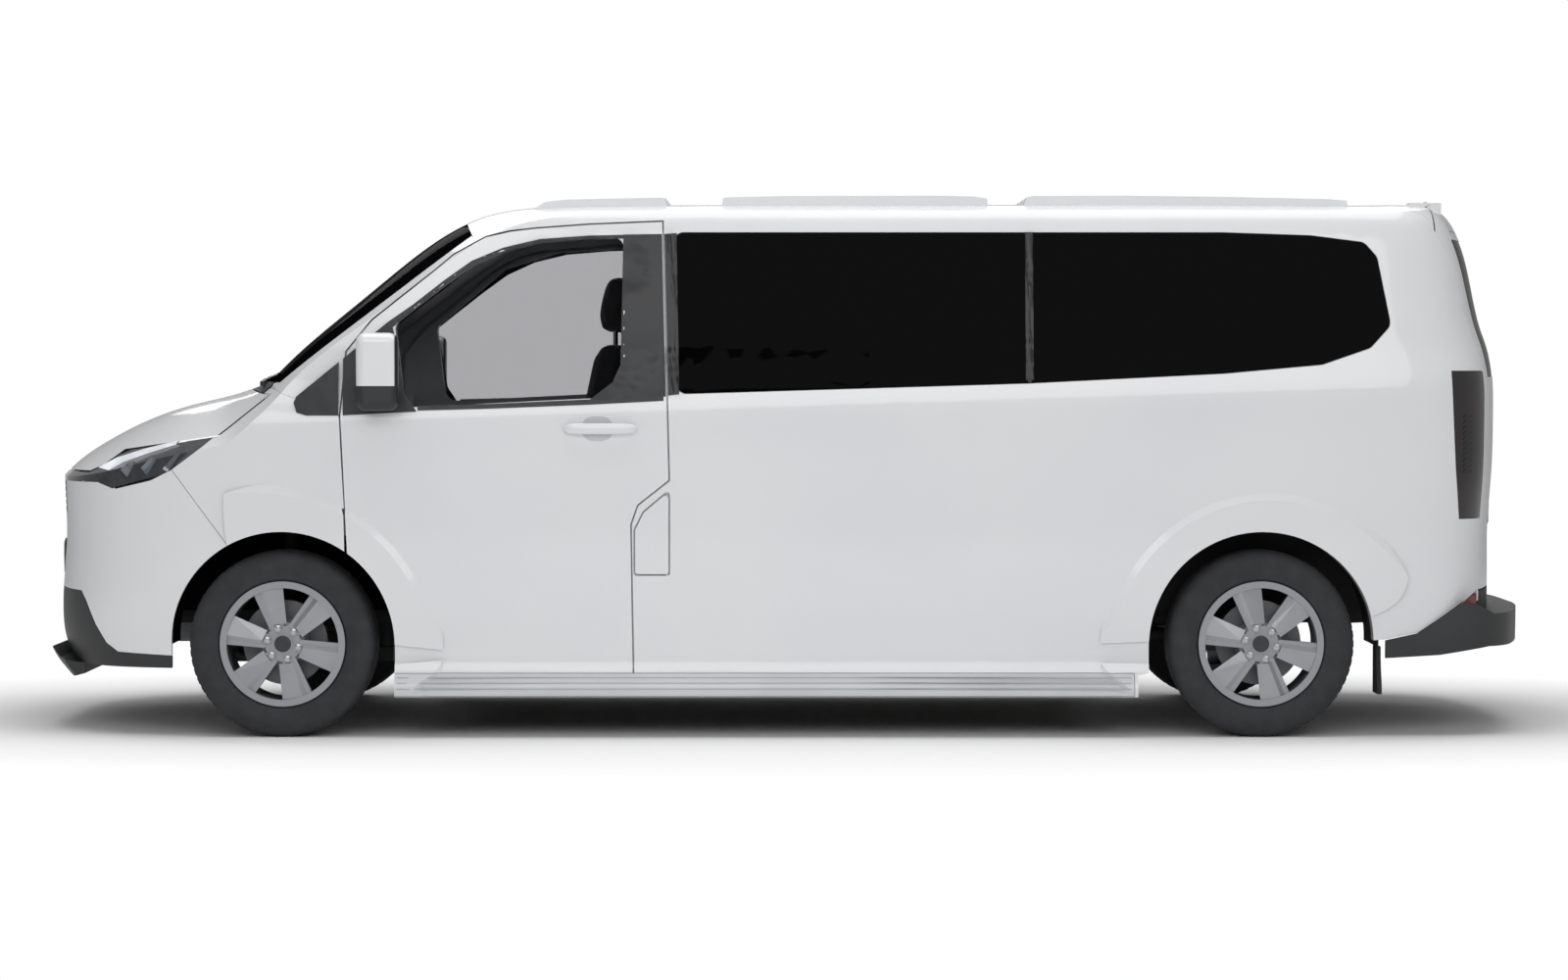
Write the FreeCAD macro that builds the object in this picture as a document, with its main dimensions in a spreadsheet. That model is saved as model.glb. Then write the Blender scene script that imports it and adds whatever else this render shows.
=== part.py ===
"""Long wheelbase minibus: a hollow body shell split at its real panel gaps, with opening doors, bonnet,
tailgate and fuel flap, steered front wheels, seats, glass and running gear. Millimetres, X to the rear,
Y to the right-hand side, Z up, origin on the ground under the middle of the vehicle. The nose points to -X."""

import FreeCAD, Part
import Sketcher
import math
import os
import re

Vector = FreeCAD.Vector
doc = FreeCAD.newDocument("minibus")
sheet = doc.addObject("Spreadsheet::Sheet", "Sizes")

# Driving dimensions, in millimetres and degrees.
SIZES = [
    # whole vehicle
    ("overall_length", 5450), ("roof_height", 1950), ("body_width", 2006),
    ("wheelbase", 3500), ("front_overhang", 925), ("track_width", 1736),
    # shell and its gaps
    ("wall_thickness", 65), ("roof_thickness", 30), ("flange_thickness", 20), ("glass_thickness", 6),
    ("glass_recess", 2), ("seat_clearance", 0.3), ("panel_gap", 6), ("seam_gap", 2),
    ("door_box_inset", 40),
    ("door_rebate_inset", 28), ("cut_overrun", 60), ("window_corner_radius", 40),
    ("flap_corner_radius", 12),

    # wheels, arches and brakes
    ("tyre_diameter", 668), ("tyre_width", 215), ("tyre_bulge_height", 50), ("tyre_shoulder_inset", 24),
    ("tyre_shoulder_drop", 9), ("bead_depth", 7), ("rim_diameter", 436),
    ("rim_wall", 11), ("rim_lip", 6), ("rim_lip_width", 7), ("rim_lip_inset", 10),
    ("lip_clearance", 1),
    ("spoke_inner_radius", 66), ("spoke_outer_radius", 206), ("spoke_thickness", 32),
    ("spoke_offset", 52),
    ("spoke_lead", 29.5), ("spoke_trail", 55.7), ("spoke_root_lead", 17), ("spoke_root_trail", 63),
    ("hub_radius", 78), ("hub_bore_radius", 32), ("hub_offset", 30), ("hub_thickness", 50),
    ("cap_radius", 36), ("cap_offset", 66), ("cap_thickness", 20), ("hub_dome_step", 14),
    ("disc_radius", 152), ("disc_thickness", 22), ("disc_hat_radius", 90), ("disc_hat_wall", 8),
    ("disc_inner_radius", 62), ("disc_face_offset", 29.7), ("spindle_radius", 31.7), ("spindle_end", 62),
    ("arch_radius", 403), ("arch_liner_radius", 424), ("liner_thickness", 6), ("liner_inner_reach", 545),
    ("liner_bottom", 320), ("flare_face_radius", 503), ("flare_foot_radius", 529), ("flare_height", 11),
    # steering and suspension
    ("kingpin_low_y", 790), ("kingpin_low_z", 235), ("kingpin_high_y", 600), ("kingpin_high_z", 880),
    ("knuckle_radius", 52), ("knuckle_inner_y", 755), ("knuckle_outer_y", 840), ("strut_radius", 26),
    ("strut_start", 70), ("strut_length", 430), ("rod_radius", 11), ("rod_length", 250),
    ("ball_pin_radius", 9), ("ball_pin_reach", 32), ("ball_pin_length", 60), ("ball_boss_radius", 24),
    ("tower_radius", 62), ("tower_wall", 12), ("tower_height", 160), ("tower_offset", 150),
    ("tower_void_height", 400), ("rod_bore_depth", 20), ("steering_rim_radius", 190),
    ("steering_rim_tube", 15), ("steering_hub_radius", 60), ("steering_hub_height", 40),
    ("steering_column_radius", 18), ("steering_column_length", 110), ("steering_x", -1290),
    ("steering_y", -430), ("steering_z", 1030), ("steering_tilt", 38), ("steering_spoke_radius", 9),
    ("steering_spoke_drop", 8), ("shroud_radius", 46), ("shroud_length", 220), ("shroud_start", 280),
    ("shroud_bore_start", 150), ("shroud_bore_length", 90),
    # hinges
    ("hinge_pin_radius", 5), ("hinge_barrel_radius", 9), ("hinge_eye_length", 30),
    ("hinge_ear_length", 14),
    ("hinge_leaf_thickness", 5), ("hinge_post_reach", 72), ("hinge_pocket_radius", 13),
    ("hinge_pocket_margin", 6), ("hinge_leaf_length", 40), ("hinge_leaf_lap", 3),
    ("hinge_sweep_radius", 64),
    ("door_hinge_setback", 40), ("door_hinge_low", 770), ("door_hinge_high", 1120),
    ("post_thickness", 40),
    ("post_front", 70), ("post_rear", 50), ("post_bottom", 640), ("post_top", 1200),
    ("bonnet_hinge_x", -1850), ("bonnet_hinge_y", 690), ("bonnet_hinge_z", 1256),
    ("tailgate_hinge_y", 560), ("tailgate_hinge_z", 1918), ("tailgate_edge_swing", 15),
    ("flap_hinge_inset", 6), ("flap_pin_radius", 2),
    ("flap_pin_seat", 14),
    # floor and underbody
    ("floor_top", 470), ("floor_thickness", 40), ("floor_rear", 2560), ("rail_width", 90),
    ("rail_height", 50), ("rail_y", 430), ("rail_front", -2440), ("rail_rear", 2420),
    ("firewall_x", -1530), ("bulkhead_thickness", 30), ("bulkhead_top", 1149),
    ("bulkhead_half_width", 890),
    ("door_sill_y", 908), ("tow_hole_radius", 6.5), ("tow_hole_front_x", 2240), ("tow_hole_rear_x", 2340),
    # running gear and tanks
    ("subframe_front", -2150), ("subframe_rear", -1450), ("subframe_y", 420), ("subframe_width", 70),
    ("subframe_bottom", 235), ("subframe_top", 288), ("arm_radius", 15), ("arm_half_spread", 250),
    ("arm_boss_drop", 15), ("arm_boss_low", 28), ("arm_boss_high", 2), ("arm_boss_radius", 26),
    ("ball_bore_reach", 60), ("ball_boss_start", 12), ("axle_housing_inner_y", 700),
    ("engine_front", -2390), ("engine_rear", -1790), ("engine_left", -310), ("engine_right", 330),
    ("engine_bottom", 300), ("engine_top", 920),
    ("tank_front", -250), ("tank_rear", 550), ("tank_left", -700), ("tank_right", -480),
    ("tank_bottom", 250), ("axle_beam_radius", 42), ("trailing_arm_radius", 26),
    ("trailing_arm_length", 560),
    ("pipe_radius", 28), ("silencer_radius", 80), ("pipe_y", 180), ("pipe_z", 320),
    ("pipe_hanger_radius", 8),
    ("pipe_front", -1740), ("silencer_front", 700), ("silencer_rear", 1350), ("bush_radius", 30),
    # cabin
    ("front_seat_x", -800), ("front_seat_y", 430), ("front_seat_width", 480), ("second_row_x", 380),
    ("second_row_width", 1260), ("second_head_y", 420), ("third_row_x", 1470), ("third_row_width", 1040),
    ("third_head_y", 340), ("seat_height", 390), ("rear_seat_rise", 70), ("headrest_width", 250),
    ("seat_corner_radius", 40), ("headrest_corner_radius", 30), ("headrest_stalk_radius", 7),
    ("headrest_stalk_y", 50), ("seat_frame_inset", 60), ("seat_frame_front", 400),
    ("seat_frame_rear", 40),
    ("seat_underside", 130), ("mirror_fillet", 34), ("flap_thickness", 16),
    ("front_flap_thickness", 22), ("front_flap_lap", 25),
]

for row, (alias, value) in enumerate(SIZES, start=1):
    sheet.set(f"A{row}", alias)
    sheet.set(f"B{row}", str(value))
    sheet.setAlias(f"B{row}", alias)
doc.recompute()


def size(alias):
    """One dimension from the sheet."""
    return float(sheet.get(alias))


length = size("overall_length")
height = size("roof_height")
half_width = size("body_width") / 2
nose_x = -length / 2
front_axle_x = nose_x + size("front_overhang")
rear_axle_x = front_axle_x + size("wheelbase")
wheel_y = size("track_width") / 2
wheel_z = size("tyre_diameter") / 2
wall = size("wall_thickness")
roof_wall = size("roof_thickness")
flange = size("flange_thickness")
glass = size("glass_thickness")
recess = size("glass_recess")
clearance = size("seat_clearance")
gap = size("panel_gap")
seam = size("seam_gap")
overrun = size("cut_overrun")
arch_radius = size("arch_radius")
liner_radius = size("arch_liner_radius")
liner = size("liner_thickness")
window_radius = size("window_corner_radius")
floor_top = size("floor_top")
floor_low = floor_top - size("floor_thickness")
rail_low = floor_low - size("rail_height")
firewall_x = size("firewall_x")

# Half the outline seen from above, from the middle of the nose to the middle of the tail:
# shares of the length and of the half width.
PLAN_SHARES = [
    (0.0055, 0.0), (0.0065, 0.18), (0.0100, 0.38), (0.0170, 0.56), (0.0300, 0.725), (0.0520, 0.850),
    (0.0950, 0.937), (0.1650, 0.984), (0.2500, 1.0), (0.4200, 1.002), (0.6000, 1.0), (0.7600, 0.998),
    (0.8600, 0.988), (0.9150, 0.968), (0.9420, 0.925), (0.9555, 0.850), (0.9640, 0.730), (0.9715, 0.560),
    (0.9780, 0.340), (0.9807, 0.140), (0.9812, 0.0),
]
# Sections from the ground up: height, its rise over the length, half width, nose and tail shift.
SECTION_SHARES = [
    (0.056, 0.0, 0.935, 0.0150, -0.0060), (0.120, 0.0, 0.979, 0.0090, -0.0010),
    (0.170, 0.008, 0.969, 0.0, 0.0), (0.226, 0.012, 0.988, -0.0020, 0.0),
    (0.290, 0.016, 0.9965, -0.0010, 0.0), (0.370, 0.020, 1.0, 0.0010, 0.0),
    (0.470, 0.030, 1.0, 0.0, 0.0030), (0.565, 0.060, 0.9985, 0.0, 0.0040),
    (0.622, 0.095, 0.9955, 0.0, 0.0030), (0.650, 0.105, 0.9800, 0.0, 0.0010),
    (0.720, 0.060, 0.9650, 0.0, -0.0050), (0.820, 0.015, 0.9420, 0.0, -0.0120),
    (0.922, 0.0, 0.9080, 0.0, -0.0220), (0.955, 0.0, 0.8850, 0.0, -0.0290),
    (0.973, 0.0, 0.8450, 0.0, -0.0360), (0.987, 0.0, 0.7700, 0.0, -0.0450),
    (1.010, 0.0, 0.6000, 0.0, -0.0600),
]
# Middle line of the bonnet, windscreen and roof: along, height, drop and sweep back at the body side.
TOP_LINE_SHARES = [
    (-0.0060, 0.4350, 0.060, 0.020), (0.0030, 0.4650, 0.070, 0.020), (0.0135, 0.4970, 0.080, 0.020),
    (0.0345, 0.5385, 0.087, 0.020), (0.0550, 0.5690, 0.091, 0.020), (0.0756, 0.5925, 0.094, 0.020),
    (0.0960, 0.6090, 0.093, 0.020), (0.1166, 0.6226, 0.086, 0.020), (0.1320, 0.6359, 0.062, 0.019),
    (0.1440, 0.6500, 0.046, 0.019), (0.1576, 0.6836, 0.036, 0.020), (0.1848, 0.7523, 0.031, 0.024),
    (0.2121, 0.8154, 0.031, 0.029), (0.2394, 0.8785, 0.031, 0.034), (0.2668, 0.9330, 0.032, 0.038),
    (0.2815, 0.9545, 0.033, 0.039), (0.2941, 0.9675, 0.034, 0.040), (0.3213, 0.9810, 0.035, 0.040),
    (0.3486, 0.9850, 0.036, 0.039), (0.4033, 0.9872, 0.036, 0.036), (0.5000, 0.9880, 0.036, 0.030),
    (0.6650, 0.9884, 0.036, 0.020), (0.8100, 0.9880, 0.036, 0.010), (0.8945, 0.9870, 0.036, 0.0),
    (0.9302, 0.9860, 0.036, 0.0), (0.9530, 0.9770, 0.036, 0.0), (0.9770, 0.9600, 0.036, 0.0),
    (1.0100, 0.9300, 0.036, 0.0),
]
LID_WIDTH_SHARES = [0.0, 0.2, 0.4, 0.6, 0.75, 0.86, 0.95, 1.05]
SWEEP_POWER = 2.2
DROP_POWER = 2.6
NOSE_FADE_POWER = 3
TAIL_FADE_POWER = 4

# Outlines on the near side are traced in the photograph's own pixels. The span of the whole
# length and height in pixels and the pixel of the origin turn them into places on the vehicle.
LENGTH_PIXELS = 1561.6
HEIGHT_PIXELS = 558.7
ORIGIN_PIXELS = (801.8, 754.0)


def along(share):
    """A place along the vehicle as a share of its length, from the nose."""
    return nose_x + length * share


def up(share):
    """A height as a share of the roof's height."""
    return height * share


def across(share):
    """A distance across the vehicle as a share of its half width."""
    return half_width * share


def spot(pixel, y=0.0):
    """The place of a traced pixel, at a distance y across the vehicle."""
    pixel_x, pixel_z = pixel
    x = (pixel_x - ORIGIN_PIXELS[0]) / LENGTH_PIXELS * length
    z = (ORIGIN_PIXELS[1] - pixel_z) / HEIGHT_PIXELS * height
    return Vector(x, y, z)


def outline_at(section, inset):
    """The closed outline of the body walls at one section, moved inwards by inset."""
    height_share, rise_share, width_share, nose_share, tail_share = section
    half = []
    for along_share, across_share in PLAN_SHARES:
        shift = nose_share * (1
            - along_share) ** NOSE_FADE_POWER + tail_share * along_share ** TAIL_FADE_POWER
        z = up(height_share + rise_share * (along_share - 0.5))
        half.append((along(along_share + shift), across(across_share * width_share), z))
    left = [(x, -y, z) for x, y, z in half]
    full = left + list(reversed(half[1:-1]))
    points = []
    for here, (x, y, z) in enumerate(full):
        before_x, before_y, _ = full[here - 1]
        after_x, after_y, _ = full[(here + 1) % len(full)]
        run = math.hypot(after_x - before_x, after_y - before_y)
        points.append(Vector(x - (after_y - before_y) / run * inset,
            y + (after_x - before_x) / run * inset, z))
    return points


def curve_stations(points):
    """Places of the points along their closed outline, as shares of its way round."""
    total = 0.0
    stations = [total]
    for here, point in enumerate(points):
        total += (points[(here + 1) % len(points)] - point).Length
        stations.append(total)
    return [station / total for station in stations]


def walls(inset):
    """The space inside the wrap-around walls, as a loft through closed outlines at rising heights."""
    stations = curve_stations(outline_at(SECTION_SHARES[len(SECTION_SHARES) // 2], inset))
    wires = []
    for section in SECTION_SHARES:
        curve = Part.BSplineCurve()
        curve.interpolate(outline_at(section, inset), PeriodicFlag=True, Parameters=stations)
        wires.append(Part.Wire([curve.toShape()]))
    return Part.makeLoft(wires, True, False)


def lid_face(inset):
    """The crowned sheet of bonnet, windscreen and roof, lowered by inset."""
    shares = [-share for share in reversed(LID_WIDTH_SHARES[1:])] + LID_WIDTH_SHARES
    grid = []
    for along_share, height_share, drop_share, sweep_share in TOP_LINE_SHARES:
        strip = []
        for share in shares:
            side = abs(share)
            x = along(along_share + sweep_share * side ** SWEEP_POWER)
            z = up(height_share - drop_share * side ** DROP_POWER) - inset
            strip.append(Vector(x, across(share), z))
        grid.append(strip)
    surface = Part.BSplineSurface()
    surface.interpolate(grid)
    return surface.toShape()


def hull(wall_inset, lid_inset):
    """The space inside the walls and under the lid."""
    below_lid = lid_face(lid_inset).extrude(Vector(0, 0, -2 * height))
    return walls(wall_inset).common(below_lid)


SMALLEST_ROUND = 0.3
SIDE_SHARE_FOR_ROUNDS = 0.45


def rounded_face(points, radius):
    """A flat face on the closed outline through the points, its corners rounded as far as its sides allow."""
    edges = []
    last = None
    first = None
    count = len(points)
    for here, corner in enumerate(points):
        back = points[here - 1] - corner
        ahead = points[(here + 1) % count] - corner
        half_angle = back.getAngle(ahead) / 2
        room = min(back.Length, ahead.Length) * SIDE_SHARE_FOR_ROUNDS
        trim = min(radius / math.tan(half_angle), room)
        arc_radius = trim * math.tan(half_angle)
        back.normalize()
        ahead.normalize()
        start = corner
        end = corner
        arc = None
        if trim > SMALLEST_ROUND:
            start = corner + back * trim
            end = corner + ahead * trim
            middle = (back + ahead).normalize() * (arc_radius / math.sin(half_angle)
                - arc_radius) + corner
            arc = Part.Arc(start, middle, end).toShape()
        if last is None:
            first = start
        else:
            edges.append(Part.makeLine(last, start))
        if arc is not None:
            edges.append(arc)
        last = end
    edges.append(Part.makeLine(last, first))
    return Part.Face(Part.Wire(edges))


def offset_outline(points, inset):
    """The outline through the points moved inwards by inset, each side by the same amount."""
    area = sum(points[i - 1].x * points[i].z - points[i].x * points[i - 1].z for i in range(len(points)))
    turn = 1 if area > 0 else -1
    moved = []
    count = len(points)
    for here, corner in enumerate(points):
        back = (corner - points[here - 1]).normalize()
        ahead = (points[(here + 1) % count] - corner).normalize()
        back_normal = Vector(-back.z, 0, back.x) * turn
        ahead_normal = Vector(-ahead.z, 0, ahead.x) * turn
        middle = (back_normal + ahead_normal).normalize()
        moved.append(corner + middle * (inset / middle.dot(back_normal)))
    return moved


outside_y = -half_width - overrun
far_y = half_width + overrun
far_z = height + overrun


def prism(points, low_y, high_y, radius=0.0):
    """A closed outline seen from the side, from low_y to high_y across the vehicle."""
    face = rounded_face(points, radius) if radius else Part.Face(Part.makePolygon(points + points[:1]))
    face.translate(Vector(0, low_y, 0))
    return face.extrude(Vector(0, high_y - low_y, 0))


def side_prism(pixels, inset=0.0, radius=0.0, low_y=outside_y, high_y=0.0):
    """A traced side outline, moved inwards by inset, from low_y to high_y across the vehicle."""
    points = [spot(pixel) for pixel in pixels]
    if inset:
        points = offset_outline(points, inset)
    return prism(points, low_y, high_y, radius)


def block(low, high):
    """A box between two opposite corners."""
    near = [min(a, b) for a, b in zip(low, high)]
    far = [max(a, b) for a, b in zip(low, high)]
    return Part.makeBox(far[0] - near[0], far[1] - near[1], far[2] - near[2], Vector(*near))


def rod(start, end, radius):
    """A round bar between two points."""
    run = Vector(*end) - Vector(*start)
    return Part.makeCylinder(radius, run.Length, Vector(*start), run)


def mirrored(shape):
    """The same shape on the other side of the vehicle."""
    return shape.mirror(Vector(0, 0, 0), Vector(0, 1, 0))


def both(shape):
    """A piece and its mirror image as one shape of separate solids."""
    return Part.makeCompound(shape.Solids + mirrored(shape).Solids)


def on_both_sides(shapes):
    """A list of shapes with their mirror images."""
    return shapes + [mirrored(shape) for shape in shapes]


def largest(shape):
    """The largest solid of a shape that a cut has left in pieces."""
    return max(shape.Solids, key=lambda solid: solid.Volume)


nodes = {}


def node(name, shape):
    """Adds a finished piece to the document under its own name."""
    feature = doc.addObject("Part::Feature", name)
    feature.Label = name
    feature.Shape = shape
    feature.Placement = FreeCAD.Placement()
    nodes[name] = feature
    return feature


def bound(words):
    """An expression with each of the sheet's names tied to the sheet."""
    return re.sub(r"\b[a-z_]+\b(?!\()", lambda found: f"Sizes.{found[0]}", words)


def worth(words):
    """The value of an expression in the sheet's names."""
    return float(sheet.evalExpression(bound(words)))


# The hulls: spaces bounded by the outer skin and by surfaces at set depths under it.
plain_hull = hull(0, 0)
glass_skin = hull(recess, recess)
glass_back = hull(recess + glass, recess + glass)
glass_seat = hull(recess + glass + clearance, recess + glass + clearance)
flange_back = hull(flange, flange)
flange_fit = hull(flange + clearance, flange + clearance)
rebate = hull(flange + gap, flange + gap)
cabin = hull(wall, roof_wall)
cabin_fit = hull(wall + clearance, roof_wall + clearance)


def arch_cylinder(axle_x, radius, low_y, high_y):
    """A round space about an axle, from low_y to high_y."""
    return rod((axle_x, low_y, wheel_z), (axle_x, high_y, wheel_z), radius)


def flare_space(axle_x):
    """A round space about an axle whose edge slopes back from the raised band to the body's skin."""
    slope = (size("flare_foot_radius") - size("flare_face_radius")) / size("flare_height")
    outer_radius = size("flare_face_radius") - slope * overrun
    depth = overrun + size("flare_height") + flange
    outer_y = -half_width - size("flare_height") - overrun
    return Part.makeCone(outer_radius, outer_radius + slope * depth, depth,
        Vector(axle_x, outer_y, wheel_z), Vector(0, 1, 0))


# The raised bands round the wheel arches stand on the skin.
bulge = hull(-size("flare_height"), 0)
bands = [flare_space(axle_x).common(bulge) for axle_x in (front_axle_x, rear_axle_x)]
outer = plain_hull.fuse(on_both_sides(bands))

# Panel lines, traced on the near side.
DOOR_PIXELS = [
    (398, 688), (645, 688), (643, 535), (650, 515), (682, 490), (680, 405), (675, 226), (601, 229),
    (547, 233), (520, 236), (494, 242), (461, 260), (443, 276), (379, 327), (353, 359), (347, 425),
    (354, 568),
]
DOOR_WINDOW_PIXELS = [(412, 416), (402, 331), (482, 265), (545, 246), (636, 241), (636, 405)]
REAR_GLASS_PIXELS = [
    (690, 402), (1050, 391), (1250, 381), (1350, 372), (1400, 355), (1421, 332), (1408, 262), (1395, 247),
    (1340, 240), (1250, 237), (686, 237),
]
GLASS_SPLIT_PIXELS = (1049.0, 1053.0)
FRONT_PANE_OPENING_PIXELS = [(735, 376), (990, 368), (990, 256), (735, 256)]
REAR_PANE_OPENING_PIXELS = [(1070, 366), (1250, 358), (1340, 350), (1372, 330), (1360, 262), (1070, 255)]
SLIDING_DOOR_PIXELS = [(688, 688), (1052, 688), (1058, 600), (1056, 228), (688, 228)]
FUEL_FLAP_PIXELS = [(648, 541), (657, 523), (682, 502), (682, 586), (648, 586)]
SILL_PIXELS = [(401, 688), (1158, 688), (1158, 711), (401, 711)]
BUMPER_SEAM_PIXELS = [
    (-60, 482), (79, 486), (93, 491), (112, 500), (150, 491), (172, 480), (230, 557), (250, 580),
    (250, 684), (-60, 684),
]
BONNET_PIXELS = [
    (-60, 300), (-60, 484), (80, 482), (96, 475), (115, 460), (217, 445), (272, 400), (278, 392),
    (278, 300),
]
HEADLAMP_PIXELS = [
    (-60, 478), (84, 478), (103, 469), (125, 460), (177, 449), (217, 443), (202, 457), (171, 480),
    (158, 486), (108, 499), (91, 493), (-60, 493),
]
SCREEN_PIXELS = [(-60, 391), (278, 391), (478, 238), (478, 120), (-60, 120)]
SIDE_PIXELS = [
    (274, 397), (347, 424), (356, 600), (360, 700), (380, 712), (1162, 712), (1162, 690), (1300, 660),
    (1415, 654), (1450, 647), (1497, 616), (1640, 616), (1640, 60), (120, 60),
]
LAMP_PIXELS = [(1484, 379), (1640, 379), (1640, 530), (1493, 530), (1489, 478)]
REAR_BUMPER_PIXELS = [
    (1417, 655), (1450, 648), (1497, 617), (1508, 616), (1531, 628), (1640, 628), (1640, 662),
    (1526, 662),
    (1473, 670), (1417, 673),
]
WING_PIXELS = [(-60, 380), (276, 398), (346, 424), (346, 425), (353, 568), (353, 640), (353, 760),
    (-60, 760)]
TRIM_PIXELS = [
    (-60, 605), (70, 607), (76, 617), (87, 641), (99, 660), (112, 669), (179, 672), (260, 674),
    (260, 684),
    (-60, 684),
]

arch_centres = {"front": front_axle_x, "rear": rear_axle_x}
openings = []
for x in arch_centres.values():
    openings.append(arch_cylinder(x, arch_radius, outside_y, -size("liner_inner_reach")))
    openings.append(block((x - arch_radius, outside_y, -overrun),
        (x + arch_radius, -size("liner_inner_reach"), wheel_z)))
both_openings = on_both_sides(openings)

# Windscreen, roof and tailgate lines seen from above, as shares of the length, height and half width.
HEADER_FRONT_SHARE = 0.2815
HEADER_SIDE_SHARE = 0.2925
HEADER_WIDTH_SHARE = 0.78
BONNET_REAR_SHARE = 0.1325
BONNET_SIDE_SHARE = 0.1570
BONNET_WIDTH_SHARE = 0.80
SCREEN_BASE_SHARE = 0.651
ROOF_DITCH_SHARE = 0.805
ROOF_CUT_SHARE = 0.86
TAIL_SHARE = 0.9290
TAILGATE_WIDTH_SHARE = 0.812
TAILGATE_BASE_SHARE = 0.268
REAR_WINDOW_WIDTH_SHARE = 0.74
REAR_WINDOW_BASE_SHARE = 0.66
REAR_WINDOW_TOP_SHARE = 0.915
MIDDLE_SHARE = 0.5


def arc_radius(sweep, width):
    """The radius of an arc that falls back by sweep at a distance width from its middle."""
    return (width ** 2 + sweep ** 2) / (2 * sweep)


header_front_x = along(HEADER_FRONT_SHARE)
header_radius = arc_radius(along(HEADER_SIDE_SHARE) - header_front_x, across(HEADER_WIDTH_SHARE))
bonnet_rear_x = along(BONNET_REAR_SHARE)
bonnet_radius = arc_radius(along(BONNET_SIDE_SHARE) - bonnet_rear_x, across(BONNET_WIDTH_SHARE))
screen_base_z = up(SCREEN_BASE_SHARE)
ditch_y = across(ROOF_DITCH_SHARE)
tail_x = along(TAIL_SHARE)
tailgate_y = across(TAILGATE_WIDTH_SHARE)
tailgate_z = up(TAILGATE_BASE_SHARE)


def behind_arc(middle_x, radius):
    """The space behind a line that sweeps back towards the sides, seen from above."""
    return Part.makeCylinder(radius, far_z, Vector(middle_x + radius, 0, 0))


def screen_zone(margin):
    """The space in front of the windscreen's side lines and header, its edges moved out by margin."""
    side = side_prism(SCREEN_PIXELS, -margin, 0.0, -far_y, far_y)
    low = block((nose_x - overrun, -far_y, -overrun),
        (along(MIDDLE_SHARE), far_y, screen_base_z - margin))
    return side.cut([behind_arc(header_front_x + margin, header_radius), low])


def roof_zone(margin):
    """The space over the roof panel, its edges moved out by margin."""
    zone = block((header_front_x, -ditch_y - margin, up(ROOF_CUT_SHARE)),
        (tail_x + margin, ditch_y + margin, far_z))
    return zone.common(behind_arc(header_front_x - margin, header_radius))


def tailgate_zone(margin):
    """The space behind the tailgate's shut lines, its edges moved out by margin."""
    low = (tail_x - margin, -tailgate_y - margin, tailgate_z - margin)
    return block(low, (length, tailgate_y + margin, far_z))


def bonnet_side(margin):
    """The space over the bonnet's lower shut line, its edges moved out by margin."""
    return side_prism(BONNET_PIXELS, -margin, 0.0, -far_y, far_y)


LAMP_INNER_Y = 560.0


def headlamp_zone(margin):
    """The space over the left headlamp, which wraps round the front corner, its edges moved out by margin."""
    return side_prism(HEADLAMP_PIXELS, -margin, 0.0, outside_y, -LAMP_INNER_Y + margin)


bonnet_room = bonnet_side(gap).cut(behind_arc(bonnet_rear_x + gap, bonnet_radius))
tailgate_room = tailgate_zone(gap)
screen_room = screen_zone(seam)

# Roof panel, with three groups of long pressed ribs that stand on it.
RIB_OUTLINES = [
    [(-960, 1880), (-880, 1928), (-800, 1936), (-460, 1943), (-440, 1941), (-426, 1880)],
    [(-235, 1880), (-231, 1938), (-222, 1944), (0, 1949), (560, 1950), (690, 1947), (738, 1940),
        (744, 1880)],
    [(858, 1880), (884, 1944), (905, 1949), (1250, 1950), (1600, 1946), (1980, 1938), (2056, 1932),
        (2062, 1880)],
]
RIB_PLACES = [-465, -235, 0, 235, 465]
RIB_HALF_WIDTH = 66
roof = plain_hull.cut(cabin).common(roof_zone(0)).cut(tailgate_room)
roof = largest(roof)
ribs = []
for outline in RIB_OUTLINES:
    points = [Vector(x, 0, z) for x, z in outline]
    for y in RIB_PLACES:
        rib = prism(points, y - RIB_HALF_WIDTH, y + RIB_HALF_WIDTH)
        ribs.append(rib.cut(cabin) if outline is RIB_OUTLINES[0] else rib)
roof_parts = [rib.common(behind_arc(header_front_x + gap, header_radius)) for rib in ribs]

windscreen = screen_zone(0).common(glass_skin).cut(glass_back)
node("windscreen", largest(windscreen))

barrel = size("hinge_barrel_radius")
pin = size("hinge_pin_radius")
eye_length = size("hinge_eye_length")
ear_length = size("hinge_ear_length")
leaf = size("hinge_leaf_thickness")
pocket = size("hinge_pocket_radius")
lap = size("hinge_leaf_lap")
ear_middle = eye_length / 2 + 2 * clearance + ear_length / 2
NOTCH_MARGIN = 3.0
notch_half = eye_length / 2 + 2 * clearance + ear_length + NOTCH_MARGIN
notch_outer = size("bonnet_hinge_y") + notch_half


def eye(centre, axis, radius, bore, width):
    """A hinge eye: a short round sleeve about an axis, centred on a point."""
    axis = Vector(*axis)
    start = Vector(*centre) - axis * (width / 2)
    body = Part.makeCylinder(radius, width, start, axis)
    return body.cut(Part.makeCylinder(bore, width, start, axis))


def pin_and_ears(centre, axis):
    """The fixed half of a hinge: a pin through the eye with an ear at each end."""
    axis = Vector(*axis)
    middle = Vector(*centre)
    reach = eye_length / 2 + 2 * clearance
    shaft = Part.makeCylinder(pin, 2 * reach + ear_length, middle - axis * (reach + ear_length / 2), axis)
    low = Part.makeCylinder(barrel, ear_length, middle - axis * (reach + ear_length), axis)
    high = Part.makeCylinder(barrel, ear_length, middle + axis * reach, axis)
    return shaft.fuse([low, high])


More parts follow.
